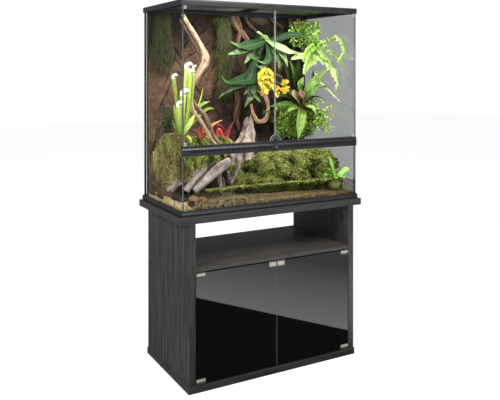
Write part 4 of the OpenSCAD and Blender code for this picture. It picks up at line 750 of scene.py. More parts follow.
def left_mound(mound, soil):
    """The left hill: moss on its top, its flank and its brow, soil at its rear and foot."""
    back, side = 92, 26
    x, t = np.meshgrid(np.linspace(-SOIL, -252, 100), np.linspace(0, 1, 110))
    y = left_front(x) + (GROW - 0.5 - left_front(x)) * t
    top, tone = hillock(x, y, np.maximum(left_hill(x, y), 905 - 140 * past_mound(x)), 15, 31, 260, (9, 27))
    mound.grid(top[:back + 1], tone[:back + 1], 0.12)
    mound.grid(top[back:, side:], tone[back:, side:], 0.12)
    soil.grid(top[back:, :side + 1], 0.5 + 0.4 * tone[back:, :side + 1])
    line = top[:, 0]
    edge = np.interp(line[:, 1], EDGE_Y, EDGE_Z) + 0.007 * waves(line[:, 1], 0 * line[:, 1], 45, 4, 70)
    edge = np.minimum(edge, line[:, 2] - 0.003)
    t = np.linspace(0, 1, 50)[None, :, None]
    flank = line[:, None] * (0, 1, 0) + (-SOIL * MM + 0.0012, 0, 0)
    flank = flank + (0, 0, 1) * (t * line[:, None, 2:3] + (1 - t) * edge[:, None, None])
    # The flank's tone falls between the puffs: painted shade.
    puffs = cushions(flank[..., 1] / MM, flank[..., 2] / MM - 830, 47, 420, (7, 19))
    flank_tone = 0.02 + 0.62 * puffs**1.5 + 0.2 * waves(flank[..., 1], flank[..., 2], 35, 4, 45)
    mound.grid(flank[:back + 1], flank_tone[:back + 1], 0.1)
    soil.grid(flank[back:], 0.5)
    brow = skirt(mound, top[0, :30], 0.893, 0.2)
    plan = smooth(SOIL_PLAN, 150)
    crest = np.where(plan[:, 1] > -0.03, np.interp(plan[:, 1], EDGE_Y, EDGE_Z), 0.915)
    t = np.linspace(0, 1, 60)[:, None]
    wall = np.stack([plan[:, 0] + 0 * t, plan[:, 1] + 0 * t, (1 - t) * 0.77 + t * crest], -1)
    relief = waves(wall[..., 0] + wall[..., 1], wall[..., 2], 46, 5, 50)
    wall[..., 0] += 0.006 * (relief - 0.6)
    soil.grid(wall, 0.42 + 0.3 * relief)
    rear = slice(back - 6, None), slice(side - 4, None)
    for co, shade, count in ((top[:back], tone[:back], 2100), (top[rear], tone[rear], 420),
                             (flank[:back - 2], flank_tone[:back - 2], 2300), (*brow, 500)):
        tufts(mound, co, count, 15.5 * 1.3, 3.4 * 1.3, shade + 0.1)


def root_apron(pile):
    """The moss that spreads from the mound over the tops of the roots."""
    ridge = np.array(route(*RIDGE))
    co = smooth([smooth(rail, 90) for rail in (route(*LIP), ridge, ridge + (0, 0.06, -0.03))], 100)
    t = np.linspace(0, 1, 101)[:, None]
    rough = waves(co[..., 0], co[..., 1] + co[..., 2], 36, 4, 40)
    puff = cushions(co[..., 0] / MM, t * 170 + 0 * rough, 37, 60, (12, 30))
    lift = 0.012 * np.sin(math.pi * t) + 0.012 * (puff - 0.4) + 0.003 * rough
    co = co + np.array((0, -1, 0.5)) * lift[..., None]
    # Tone falls between the puffs: painted shade.
    tone = np.clip(0.10 + 0.62 * puff + 0.12 * rough, 0, 1)
    pile.grid(co, tone, 0.12)
    return co, tone


def right_bank(pile):
    """The right hill, the apron over the roots and a bright strip along the water."""
    x, t = np.meshgrid(np.linspace(-85, SOIL, 210), np.linspace(0, 1, 130))
    rear = GROW - 0.5 - 126 * (1 - ease((x - 108) / 26))
    y = shore(x) + (rear - shore(x)) * t
    hill, tone = hillock(x, y, right_hill(x, y), 34, 32, 190, (15, 44), DENTS)
    pile.grid(hill, tone, 0.12)
    # The skirt's low tone paints the bank's wall dark as shade.
    skirt(pile, hill[0], GRAVEL_LOW * MM + 0.001, 0.26)
    for co, shade, count in ((hill, tone, 5600), (*root_apron(pile), 2600)):
        tufts(pile, co, count, 15.5, 3.4, shade + 0.1)
    line = smooth(route(*BANK), 160)[:, None]
    wide = 0.009 + 0.010 * waves(line[..., 0], 0 * line[..., 0], 37, 4, 60)
    line = line + np.array((0, 1, 0)) * (np.clip(wide, 0.001, 1) * np.linspace(-1, 1, 6)[None])[..., None]
    x = line[..., 0]
    line[..., 1] += 0.012 * waves(x, 0 * x, 38, 4, 40)
    line[..., 2] = WATER * MM + 0.001 + 0.004 * waves(x, 0 * x, 39, 4, 60)
    bright = 0.6 + 0.3 * waves(x, line[..., 1], 40, 3, 50)
    pile.grid(line, bright, 0.4)
    tufts(pile, line, 620, 8, 3, bright + 0.15, each=6)


def moss_hills():
    mound, pile, soil = Pile(), Pile(), Pile()
    left_mound(mound, soil)
    right_bank(pile)
    green = mossy("moss", (0.006, 0.008, 0.002), (0.140, 0.165, 0.032), (0.76, 0.80, 0.25))
    pile.build("moss_cover", green, "moss", "moss_hills")
    brown = mossy("moss_mound", (0.008, 0.007, 0.002), (0.150, 0.138, 0.032), (0.78, 0.77, 0.26),
                  (0.20, 0.115, 0.045), 0.62)
    mound.build("moss_mound", brown, "moss")
    earth = bark("soil", (0.016, 0.009, 0.006), (0.085, 0.045, 0.027), (0.24, 0.15, 0.09), (60, 60, 30),
                 0.85, 0.004)
    soil.build("mound_soil", earth, "moss")


def curtains():
    pile = Pile()
    for x0, x1, low, seed in ((-104, -6, 1222, 41), (-438, -325, 1352, 42)):
        x, t = np.meshgrid(np.linspace(x0, x1, 50), np.linspace(0, 1, 110))
        foot = low + 30 * lumps(x * 5, 0)
        z = foot + (1614 - foot) * t
        middle = (x0 + x1) / 2
        x = middle + (x - middle) * (0.74 + 0.42 * waves(0 * z, z * MM, seed + 1, 4, 26))
        mid = 1 - np.abs(2 * (x - x0) / (x1 - x0) - 1) ** 3
        y = GROW - 3 - 15 * mid * (0.7 + 0.3 * waves(x * MM, z * MM, seed, 4, 50))
        co = np.stack([x, y, z], -1) * MM
        pile.grid(co, 0.2 + 0.25 * waves(x * MM, z * MM, seed + 5, 4, 80), 0.1)
        tufts(pile, co, 3400, 24, 1.5, 0.45, 0.75, 0.6, 4, (0, -0.8, -0.5))
    mat = mossy("dry_moss", (0.009, 0.008, 0.004), (0.040, 0.043, 0.017), (0.16, 0.165, 0.068),
                (0.12, 0.09, 0.045), 0.3)
    pile.build("moss_hangings", mat, "dry_moss", "moss_curtains")


moss_hills()
curtains()

# ---------- wood, stones and water ----------

BRANCH = (  # stops, radii, sides, steps, tone, ridge, twist and flatness
    (((182.5, 14.5, 118), (188, 24, 108), (195, 35, 90), (201, 46, 70), (205, 56, 50), (204.6, 64, 35),
      (198.5, 74, 10), (192, 84, -12), (190, 94, -35), (190.5, 103, -55)),
     (9, 10, 12, 14, 18, 18.5, 17, 15.5, 14.5, 14.5), 28, 90, 0.55, 0.13, 5, 0.85),
    (((191.5, 101, -50), (197, 108, -65), (204.6, 115, -80), (209.5, 126, -90), (214, 136, -100),
      (221, 146, -106)),
     (12, 11, 10, 8.5, 7.5, 6), 20, 60, 0.45, 0.14, 4),
    (((190, 101, -60), (193, 112, -75), (200.5, 120.5, -92), (206.5, 131, -102), (212, 140, -110),
      (219, 147, -112)),
     (11, 11.5, 9, 7.5, 6.5, 5), 20, 60, 0.75, 0.14, 4),
    (((218, 144, -109), (222, 154, -90), (224.5, 168, -60), (225.5, 184, -45)), (7, 8, 9, 11), 18, 50,
     -0.45, 0.2, 3),
    (((180, 19, 130), (190, 36, 110), (198, 49, 85), (203, 58, 62)), (6, 7, 9, 6), 14, 40, 0.2, 0.15, 3))
# compass and reach
ROOT_FEET = ((262, 120), (286, 76), (312, 98), (340, 92), (20, 70), (60, 70), (120, 70), (160, 80))
SLABS = (  # stops, half width and tone
    (((194, 167, -135), (186, 174, -150), (177, 182, -140), (168.5, 189, -130)), 19, 0.6),
    (((191, 172, -145), (184, 179, -160), (178, 185, -150), (172.5, 191, -145)), 13, 0.3),
    (((206, 165, -120), (199, 172, -140), (192, 181, -155), (186, 191, -160)), 19, 0.6),
    (((214, 163, -100), (206, 172, -120), (199, 182, -135), (193, 190, -140)), 10, 0.25),
    (((230, 161, -90), (220, 168, -115), (207, 179, -140), (194, 191, -155)), 21, 0.66))
THIN_ROOT = (((236, 150, -50), (239, 160, -60), (237, 172, -70), (231, 183, -80)), (8, 9, 8, 6), 14, 40,
             0.6, 0.16, 2)
LOOP = (((254, 88, 184), (261, 92, 165), (267, 100, 140), (268, 110, 120), (265, 120, 105), (258, 121, 100),
         (253, 113, 105), (251, 104, 120)), (11, 10, 9.5, 10, 11, 10, 8, 6), 20, 90, 0.6, 0.16, 4)
# place and size in metres, and tone
STONES = (((-0.414, -0.118, 0.800), 0.029, 0.1), ((-0.424, -0.162, 0.795), 0.016, 0.2),
          ((-0.383, -0.196, 0.796), 0.019, 0.85), ((-0.345, -0.200, 0.793), 0.015, 0.75),
          ((-0.402, -0.211, 0.783), 0.014, 0.05))


def limbs(pile, *table):
    for stops, *look in table:
        pile.tube(route(*stops), *look)


def branch():
    pile = Pile()
    limbs(pile, *BRANCH)
    mat = bark("driftwood", (0.022, 0.012, 0.008), (0.155, 0.093, 0.055), (0.52, 0.37, 0.235),
               (210, 210, 30))
    pile.build("driftwood", mat, "driftwood", "driftwood_branch")


def roots():
    pile = Pile()
    crown = np.array((-0.19, 0.01, 0.95))
    for turn, reach in ROOT_FEET:
        d = compass(turn)
        path = [crown + (0, 0, rng.uniform(-0.02, 0.02)) + d * 0.012,
                crown + d * reach * 0.33 * MM + (0, 0, -0.035 + rng.uniform(-0.015, 0.015)),
                crown + d * reach * 0.72 * MM + (0, 0, -0.095 + rng.uniform(-0.015, 0.01)),
                crown * (1, 1, 0) + (0, 0, GRAVEL_HIGH * MM + 0.006) + d * reach * MM]
        girth = rng.uniform(9, 12.5)
        pile.tube(path, times(girth, (1.3, 1.15, 1, 0.55)), 16, 44, 0.3 + 0.35 * rng.random(), 0.18, 4)
    for stops, girth, tone in SLABS:
        pile.tube(route(*stops), times(girth, (0.8, 1.1, 1, 0.8)), 22, 60, tone, 0.16, 1.5, 0.6)
    limbs(pile, THIN_ROOT)
    trunk = [crown + shift for shift in ((0, 0, -0.15), (0.004, 0, -0.06), (0, 0, 0), (-0.004, 0.004, 0.03))]
    pile.tube(trunk, (34, 30, 28, 22), 24, 30, 0.2, 0.18, 3)
    mat = bark("dark_root", (0.022, 0.015, 0.014), (0.19, 0.145, 0.130), (0.54, 0.45, 0.41), (120, 120, 22))
    pile.build("root_tangle", mat, "dark_root", "tangled_roots")


def stump():
    pile = Pile()
    base = np.array((0.040, 0.1255, 0.7685))
    rows, sides = 110, 72
    t = np.linspace(0, 1, rows)[:, None]
    a = np.linspace(0, 2 * math.pi, sides, endpoint=False)[None]
    lean = 1 - ease((t - 0.5) / 0.5)
    rib = (0.16 * np.sin(4 * a + 3 * t) + 0.10 * np.sin(7 * a - 5 * t + 1) + 0.05 * np.sin(15 * a + 8 * t)
           + 0.05 * np.sin(38 * t + 3 * a))
    off = ((a - 4.55 + 0.3 * t) + math.pi) % (2 * math.pi) - math.pi
    split = -0.20 * np.exp(-((off / 0.16) ** 2)) * (0.25 + 0.75 * t)
    r = (0.027 + 0.031 * lean) * (0.93 + rib + split)
    x = base[0] + 0.006 - 0.020 * lean + r * np.cos(a)
    y = base[1] + 0.92 * r * np.sin(a)
    top = 0.372 - 0.011 * (1 + np.sin(3 * a + 0.6)) * (t > 0.7) * (t - 0.7) / 0.3
    z = base[2] + top * t - 0.045 * (1 - np.cos(a)) * ease((t - 0.45) / 0.55)
    # The tone is dark in the grooves between the ribs and in the split: painted shade; it is also lighter
    # toward the foot.
    tone = np.clip(0.45 + 1.6 * (rib + split) + 0.2 * (1 - t), 0, 1)
    pile.grid(np.stack([x, y, z], -1), tone, side=np.repeat(a / math.pi - 1, rows, 0), closed=True)
    hubs = [(x[row].mean(), y[row].mean(), z[row].mean() - hollow) for row, hollow in ((0, 0), (-1, 0.03))]
    pile.caps(rows, sides, hubs, 0.15)
    mat = bark("stump_bark", (0.075, 0.048, 0.040), (0.46, 0.34, 0.285), (0.82, 0.68, 0.58), (140, 140, 24))
    pile.build("stump_wood", mat, "stump_bark", "stump")
    loop = Pile()
    limbs(loop, LOOP)
    tan = bark("tan_root", (0.07, 0.03, 0.015), (0.33, 0.17, 0.085), (0.68, 0.44, 0.26), (120, 120, 40))
    loop.build("looping_root", tan, "stump_bark")


def corner_stones():
    """Dark and rust-brown stones half sunk in the gravel at the front left."""
    pile = Pile()
    for k, (place, size, tone) in enumerate(STONES):
        a, b = np.meshgrid(np.linspace(0, 2 * math.pi, 36), np.linspace(-1.5, 1.5, 24))
        r = size * (1 + 0.22 * waves(a * 0.03, b * 0.03, 70 + k, 4, 60))
        co = np.stack([np.cos(a) * np.cos(b) * 1.3, np.sin(a) * np.cos(b), np.sin(b) * 0.9], -1) * r[...,
                                                                                                     None]
        pile.grid(co + place, tone)
    mat = bark("stone", (0.012, 0.010, 0.008), (0.055, 0.04, 0.03), (0.34, 0.19, 0.08), (60, 60, 60), 0.6)
    pile.build("corner_stones", mat, "gravel")


def water():
    pile = Pile()
    x, y = np.meshgrid(np.linspace(-0.4448, 0.4448, 60), np.linspace(-0.2196, 0.1868, 30))
    co = np.stack([x, y, np.full(x.shape, WATER * MM)], -1)
    pile.grid(co)
    edge = rim(co)
    pile.grid(np.stack([edge * (1, 1, 0) + (0, 0, TANK_LOW[2]), edge]), closed=True)
    p = Paint("water")
    tint = p.ramp(p.noise(9, 3), (0.3, (0.945, 0.93, 0.85)), (0.8, (0.98, 0.97, 0.92)))
    ripple = p.bump(p.noise(30, 2), 0.2, 0.001)
    pile.build("water", p.surface(p.clear(tint, 1.33, 0.5, Color=0.8, Roughness=0.04, Normal=ripple)))


branch()
roots()
stump()

p = Paint("gravel")
grey = p.add("RGBToBW", {0: p.cells(150, "Color")}).outputs[0]
# Paler near the left pane as painted light, darker elsewhere as painted shade.
near_left = p.ramp(p.maths("MULTIPLY", p.axis("X"), -2.0), (0.76, 0.0), (0.86, 1.0))
shade = p.ramp(grey, (0.1, (0.030, 0.019, 0.009)), (0.45, (0.14, 0.094, 0.044)), (0.9, (0.44, 0.34, 0.19)))
pale = p.ramp(grey, (0.1, (0.28, 0.18, 0.08)), (0.45, (0.78, 0.57, 0.30)), (0.9, (0.94, 0.82, 0.58)))
dress(p.set(Base_Color=p.mix(near_left, shade, pale), Roughness=0.6,
            Normal=p.bump(p.maths("SUBTRACT", 1.0, p.cells(150)), 1.0, 0.004)), "gravel_bed")

corner_stones()
water()

# ---------- planting; stops are u, v and millimetres of depth, widths in millimetres ----------


def root_ball(pile, hub, radii, middle, sides=14, steps=10, tone=0.2):
    """A wall plant's roots, from the rock out to its hub."""
    back = [np.array((hub[0], y * MM, hub[2])) for y in (190, middle)]
    pile.tube([*back, hub], radii, sides, steps, tone, 0.1)


def spray(pile, hub, leaves, shape, tip, *look, ruffle=0.0):
    """Leaves from a hub: stops, half width and tone; look is facing, cup, steps and across."""
    for stops, half, tone in leaves:
        pile.leaf(route(hub, *stops), (*times(half, shape), *tip), *look, tone, ruffle)


FORK = np.array((0.149, 0.11, 1.497))
STAGHORN = (  # stops, half widths and tone; the tone is partly painted light and shade: the right fronds near white as lit, the rear ones dark as shaded
    ((FORK, (259, 43, 80), (249, 46, 50), (240, 46.5, 35), (230.7, 42, 30)), (6, 22, 30, 16, 1), 0.45),
    (((252, 46, 58), (243, 50, 35), (235, 53, 25), (227.6, 54.4, 20)), (24, 20, 12, 1), 0.62),
    (((253, 48, 60), (250, 55, 40), (247, 60, 30), (244.5, 63.6, 28)), (18, 13, 8, 1), 0.7),
    ((FORK, (268.5, 50, 80), (269, 58, 50), (264, 63, 35), (256.5, 60, 30)), (8, 18, 20, 10, 1), 0.5),
    (((269, 56, 55), (266, 64, 40), (260, 67.5, 35), (256.7, 64.5, 30)), (14, 12, 7, 1), 0.7),
    ((FORK, (258, 55, 100), (252.5, 68, 70), (250.5, 78, 40), (240, 81, 20), (229, 83, 0), (224, 80, -5),
      (222, 76, -5)), (8, 12, 22, 36, 26, 12, 6, 1), 0.42),
    (((247, 80, 30), (239, 85, 10), (229, 91, -10), (222, 95, -15), (218.3, 98.5, -15)), (24, 18, 8, 4, 1),
     0.55),
    (((252, 72, 60), (252, 84, 35), (251.5, 94, 20), (248, 101, 15), (244.6, 107.5, 15)),
     (26, 28, 24, 10, 1), 0.6),
    (((252, 90, 25), (255, 96, 15), (258.5, 100, 10), (261, 102.5, 10)), (20, 14, 8, 1), 0.75),
    (((250, 86, 30), (247, 91, 20), (244.2, 94.7, 20)), (18, 10, 1), 0.6),
    ((FORK, (274, 45, 80), (282, 49, 50), (290, 52, 35), (300, 53, 30)), (8, 26, 34, 16, 1), 0.92),
    (((278, 48, 65), (283, 56, 40), (286, 62, 30), (287.8, 67.6, 30)), (26, 22, 12, 1), 0.95),
    (((273, 50, 70), (277, 58, 45), (279, 64, 40), (279, 69, 40)), (16, 16, 10, 1), 0.75),
    ((FORK, (277, 39.5, 120), (287, 36, 100), (298, 35, 80), (307, 40, 60), (310, 53, 50)),
     (6, 16, 21, 18, 12, 1), 0.4),
    ((FORK, (263, 36, 100), (259, 33, 80), (257, 32.5, 70)), (6, 10, 10, 4), 0.95),
    ((FORK, (262, 48, 125), (256, 54, 100), (252, 59, 90)), (12, 30, 34, 10), 0.1),
    ((FORK, (270, 46, 130), (275, 52, 110), (276, 62, 100)), (12, 30, 30, 8), 0.15))
STRAPS = (  # stops, half width and tone
    (((300.5, 95, 70), (299.5, 86, 50), (303.5, 77, 40)), 21, 0.75),
    (((306, 92, 60), (316, 79, 40), (327, 69, 30)), 17, 0.8),
    (((309, 94, 50), (319, 88, 30), (329.5, 86, 20)), 15, 0.62),
    (((295, 97, 70), (291, 94, 55), (287.7, 91.5, 45)), 20, 0.28),
    (((291, 104, 50), (281, 104.5, 20), (270.5, 106.5, 10)), 12, 0.5),
    (((296, 107, 50), (291, 108.5, 30), (287.5, 112, 20)), 10, 0.75),
    (((308, 106.5, 50), (313, 108.5, 30), (316.5, 115, 20)), 14, 1.0),
    (((301.5, 114, 40), (299.5, 126, 20), (298, 139, 15)), 23, 0.85),
    (((315, 112, 50), (322, 119, 30), (331.5, 134.5, 15)), 14, 0.6),
    (((298.5, 88, 100), (297, 73, 85), (299, 58, 80)), 24, 0.12),
    (((296, 86, 90), (293, 72, 75), (290, 61, 70)), 14, 0.6),
    (((293, 92, 100), (288, 77, 90), (284, 62, 85)), 14, 0.1),
    (((308, 92, 100), (312, 82, 90), (313, 70, 85)), 16, 0.35),
    (((293, 99, 110), (284, 95, 100), (276, 96, 90)), 13, 0.12),
    (((310, 99, 110), (319, 97, 90), (326, 101, 70)), 12, 0.4))
CUP = ((((298, 99, 65), (292, 93, 45)), 30, 0.6), (((303, 98, 50), (299, 92, 35)), 26, 0.4))
FRONDS = (  # stops, reach and tone
    (((318.5, 46, 60), (329, 41, 0), (337, 37.5, -60), (343, 44, -110), (344, 52, -130), (338, 62, -130)),
     24, 0.8),
    (((317, 55, 60), (326, 64, 30), (334, 72, 10), (338, 81, 0), (336.5, 89.5, 0)), 22, 0.95),
    (((314, 52, 70), (309, 60, 40), (306, 67, 20), (304, 74, 10)), 17, 0.75),
    (((318, 50, 50), (324, 56, 0), (331, 62, -40), (333, 70, -50)), 18, 0.65),
    (((316, 46, 70), (311, 48, 40), (306, 54, 20), (303, 62, 10)), 16, 0.5),
    (((322, 48, 70), (332, 52, 40), (340, 60, 10), (343, 70, 0)), 16, 0.55),
    (((309, 57, 60), (300, 55.5, 40), (291, 59, 30)), 15, 0.9),
    (((315, 58, 60), (308, 64, 40), (305, 71, 30)), 17, 0.85),
    (((318, 58, 50), (327, 63, 20), (336, 72, 0), (338, 86, -10)), 21, 1.0),
    (((316, 48, 60), (322, 44, 30), (329, 40.5, -10)), 18, 0.8),
    (((322, 82, 40), (331, 92, 10), (341, 103, -20)), 12, 1.0))
CROWN = ((0.345, 0.184, 1.603), (0.40, 0.182, 1.604), (0.432, 0.17, 1.603), (0.436, 0.11, 1.600),
         (0.436, 0.07, 1.598))
PITCHERS = (  # stops, lower radius, mouth and tone
    (((178, 112, -60), (173.5, 78, -60)), 6, 9, 0.5),
    (((184, 104, -85), (187, 68, -85)), 6, 12, 0.9),
    (((187.5, 110, -100), (190, 74, -100)), 6, 10, 0.75),
    (((182.5, 118, -110), (183, 95, -110)), 6, 13, 0.8),
    (((180, 122, -120), (178.5, 106, -120)), 5, 11, 0.7),
    (((191, 105, -75), (193.5, 68, -70)), 4, 6, 0.6))
PITCHER_BLADES = (  # stops, half width and tone
    (((177.5, 120, -100), (173.5, 105, -100)), 10, 0.8),
    (((188, 126, -130), (195, 114, -130)), 10, 0.95),
    (((189, 137, -125), (191.5, 143, -130)), 6, 0.85),
    (((198, 106, -30), (203, 88, -20)), 3, 0.75),
    (((199, 107, -20), (209.5, 101.5, 0)), 7, 0.4),
    (((204, 111, 0), (214, 108.5, 20)), 7, 0.35),
    (((183, 122, -80), (182, 104, -80)), 10, 0.45),
    (((187, 120, -70), (188, 100, -70)), 10, 0.6),
    (((176, 128, -60), (172, 120, -50)), 6, 0.3))
RED_LEAVES = (  # stops, half width and tone
    (((203, 141, -30), (199, 134, -40), (199.7, 126, -45)), 6.2, 0.62),
    (((204, 143, -40), (201, 140, -50), (198.5, 141, -55)), 5, 0.85),
    (((205, 141, -50), (203.5, 136, -60), (205.5, 130.5, -60)), 5, 0.45),
    (((211, 136, 0), (211.5, 126, -10), (222, 120.2, -10)), 5, 0.92),
    (((217, 134, 0), (218, 124.5, -10), (225.5, 130, -10)), 5, 0.15),
    (((217, 138, -10), (219.5, 129.5, -20), (224.5, 139.5, -20)), 5.8, 0.5),
    (((220, 141, 0), (225.5, 140, 0), (230, 130.3, 0)), 5.2, 0.38),
    (((222, 138, 30), (229, 129, 30), (233.5, 121.5, 30)), 4.8, 0.08),
    (((203, 142, -35), (200, 137, -45), (197.5, 131, -50)), 5, 0.7),
    (((206, 139, -20), (203, 133, -30), (203.5, 126, -35)), 5, 0.8),
    (((209, 130, 30), (206, 120, 30), (205, 113, 30)), 3, 0.05))
ROSETTE = (  # compass, rise, reach in metres, half width and tone
    (196, 18, 0.088, 13, 0.3), (160, 70, 0.116, 17, 0.85), (185, 55, 0.06, 11, 0.35), (338, 34, 0.082, 17,
                                                                                       0.9),
    (8, 16, 0.064, 16, 0.8), (275, 20, 0.045, 12, 0.6), (235, 12, 0.055, 13, 0.5), (310, 8, 0.045, 12, 0.75))


def staghorn():
    pile = Pile()
    for stops, widths, tone in STAGHORN:
        pile.leaf(route(*stops), widths, (0.2, -0.75, 0.6), 0.2, 16, 6, tone, 0.06)
    root_ball(pile, FORK, (30, 34, 22), 160, 20, 12, 0.1)
    mat = foliage("staghorn_leaf", (0.003, 0.009, 0.003), (0.014, 0.042, 0.010), (0.27, 0.39, 0.16), 0.42,
                  0.1, 60,
                  0.08, (0.10, 0.22, 0.03))
    pile.build("staghorn", mat, "dark_leaf", "staghorn_fern", thick=1.6)


def bromeliads():
    pile, cup = Pile(), Pile()
    hub = np.array(at(301.5, 105, 85))
    spray(pile, hub, STRAPS, (0.85, 1.2, 1.15), (2,), (0.25, -0.75, 0.55), 0.3, 18, 6, ruffle=0.03)
    spray(cup, hub, CUP, (0.8, 1, 0.6), (), (0.25, -0.85, 0.35), 0.35, 12, 6, ruffle=0.05)
    brown = foliage("strap_cup", (0.09, 0.045, 0.025), (0.33, 0.20, 0.13), (0.62, 0.44, 0.30), 0.45, 0.0,
                    70, 0.05)
    cup.build("bromeliad_cup", brown, "strap_leaf", thick=1.4)
    small = np.array((0.183, 0.0875, 1.095))
    for k in range(8):
        level = k % 3
        d = compass(206 + k * 0.382 * 120 % 120) * 0.098 * (1 - 0.12 * level)
        path = [small, small + d * 0.4 + (0, 0, 0.035 + 0.01 * level), small + d * 0.8 + (0, 0, 0.05),
                small + d + (0, 0, 0.035 + 0.012 * level)]
        pile.leaf(path, (9, 12, 10, 1), (0, -0.3, 1), 0.3, 14, 4, 0.2 + 0.1 * level)
    for spot in (hub, small):
        root_ball(pile, spot, (16, 18, 12), (190 + spot[1] / MM) / 2, 16, 12, 0.1)
    mat = foliage("strap_leaf", (0.008, 0.022, 0.006), (0.060, 0.15, 0.016), (0.38, 0.56, 0.13), 0.4, 0.12,
                  50, 0.12,
                  None, (0.085, 0.035, 0.014))
    pile.build("bromeliad_leaves", mat, "strap_leaf", "bromeliads", thick=1.4)


def orchid():
    petals, stems = Pile(), Pile()
    hub = np.array((0.145, 0.1275, 1.255))
    clusters = ((265.5, 79, 7.5, 11, 10, 74), (272, 90, 7, 5, -5, 24), (284.5, 86.5, 4, 7, -10, 24),
                (277, 93, 2.5, 3.5, -10, 4), (264, 92, 4, 3.5, 0, 6))
    for u0, v0, du, dv, y0, count in clusters:
        middle = np.array(at(u0, v0, y0))
        stems.tube([hub, (hub + middle) / 2 + (0, 0, 0.03), middle], (2, 1.8, 1.4), 6, 16)
        for _ in range(count):
            r, a = math.sqrt(rng.random()), rng.uniform(0, 2 * math.pi)
            c = np.array(at(u0 + du * r * math.cos(a), v0 + dv * r * math.sin(a), y0 + rng.uniform(-22, 20)))
            stems.tube([middle, (middle + c) / 2 + (0, 0, 0.006), c + (0, 0.004, 0)], (0.9, 0.8, 0.7), 4, 4)
            face = unit(np.array((-0.35, -0.9, 0.15)) + rng.normal(size=3) * 0.4)
            sx = unit(np.cross(face, (0, 0, 1)))
            sy = np.cross(sx, face)
            size = rng.uniform(0.0075, 0.0105)
            tone = rng.uniform(0.35, 0.9)
            for k in range(5):
                b = 2 * math.pi * k / 5 + rng.uniform(-0.1, 0.1) + math.pi / 2
                d = (sx * math.cos(b) + sy * math.sin(b)) * size
                petals.leaf([c, c + d * 0.55 + face * 0.001, c + d + face * 0.0002],
                            (1.2, 4.8 if k % 2 else 3.8, 1), face, 0.2, 3, 2, tone)
            lip = -sy * size
            petals.leaf([c + face * 0.001, c + lip * 0.5 + face * 0.003, c + lip * 0.9 + face * 0.001],
                        (1.2, 5.2, 2), face, -0.2, 3, 2, min(1.0, tone + 0.15))
    for k in range(5):
        d = compass(200 + 36 * k)
        path = [hub + d * out + (0, 0, up) for out, up in ((0, 0), (0.03, 0.05), (0.065, 0.07),
                                                           (0.1, 0.055))]
        stems.leaf(path, (5, 9, 8, 1), (0, -0.4, 1), 0.3, 12, 4, 0.3)
    root_ball(stems, hub, (13, 15, 10), 160)
    yellow = foliage("orchid_petal", (0.36, 0.19, 0.01), (0.70, 0.43, 0.015), (0.92, 0.72, 0.11), 0.5, 0.0,
                     300, 0.0)
    petals.build("orchid_blooms", yellow, "orchid_bloom", "yellow_orchid")
    green = foliage("orchid_leaf", (0.02, 0.05, 0.01), (0.10, 0.20, 0.03), (0.3, 0.42, 0.1))
    stems.build("orchid_stems", green, "orchid_bloom")


def feather(pile, points, count, reach, tone, steps=40):
    """A fern frond: leaflets on both sides of a rib."""
    p = smooth(points, steps)
    pile.tube(points, (1.4, 1.2, 1, 0.6), 5, steps // 2, 0.4)
    t = unit(np.gradient(p, axis=0))
    for k in range(count):
        f = 0.08 + 0.9 * k / (count - 1)
        i = min(int(f * steps), steps)
        size = reach * math.sin(math.pi * (0.12 + 0.82 * f)) * rng.uniform(0.85, 1.15)
        for hand in (-1, 1):
            out = unit(np.cross(t[i], (0.2, -0.8, 0.4)) * hand + t[i] * 0.45 + rng.normal(size=3) * 0.16)
            path = [p[i], p[i] + (out * 0.5 + (0, 0, 0.05)) * size * MM,
                    p[i] + (out - (0, 0, 0.25)) * size * MM]
            pile.leaf(path, (0.06 * size, 0.3 * size, 0.5), (0.2, -0.7, 0.6), 0.2, 4, 2,
                      np.clip(tone + rng.normal(0, 0.12), 0, 1), 0.1)


def sprig(pile, foot, bow, tip, count, size, tones):
    """A thin bent stem from foot to tip, with small leaves all along it."""
    points = [foot, foot * 0.5 + tip * 0.5 + bow, tip]
    pile.tube(points, (1.12, 0.8), 5, 10, 0.3)
    p = smooth(points, count)
    t = unit(np.gradient(p, axis=0))
    for k in range(count + 1):
        out = unit(np.cross(t[k], rng.normal(size=3)) + 0.3 * t[k])
        length = size * rng.uniform(0.75, 1.25)
        face = unit(np.array((0.1, -0.8, 0.6)) + rng.normal(size=3) * 0.35)
        pile.leaf([p[k], p[k] + out * length * 0.5 * MM, p[k] + (out - (0, 0, 0.2)) * length * MM],
                  (0.6, length * 0.34, 0.5), face, 0.2, 3, 2, rng.uniform(*tones))


def ferns():
    pile = Pile()
    hub = np.array((0.383, 0.1035, 1.422))
    for stops, reach, tone in FRONDS:
        feather(pile, route(hub, *stops), 38, reach * 1.3, tone)
    pile.tube(CROWN, (4, 4, 3), 6, 30, 0.2)
    for k, top in enumerate(smooth(CROWN, 33)):
        drop = rng.uniform(0.12, 0.20) if k > 12 else rng.uniform(0.05, 0.14)
        foot = top + (rng.uniform(-0.012, 0.006), -rng.uniform(0.004, 0.02), -drop)
        foot[0] = min(foot[0], 0.437)
        sprig(pile, top, (rng.uniform(-0.01, 0.0), -0.008, 0), foot, 26, 13.5, (0.05, 0.75))
    root_ball(pile, hub, (14, 16, 10), 140)
    mat = foliage("fern_leaf", (0.03, 0.08, 0.01), (0.26, 0.46, 0.05), (0.78, 0.92, 0.42), 0.5, 0.0, 120,
                  0.1)
    pile.build("fern_fronds", mat, "fern_leaf", "lace_ferns")


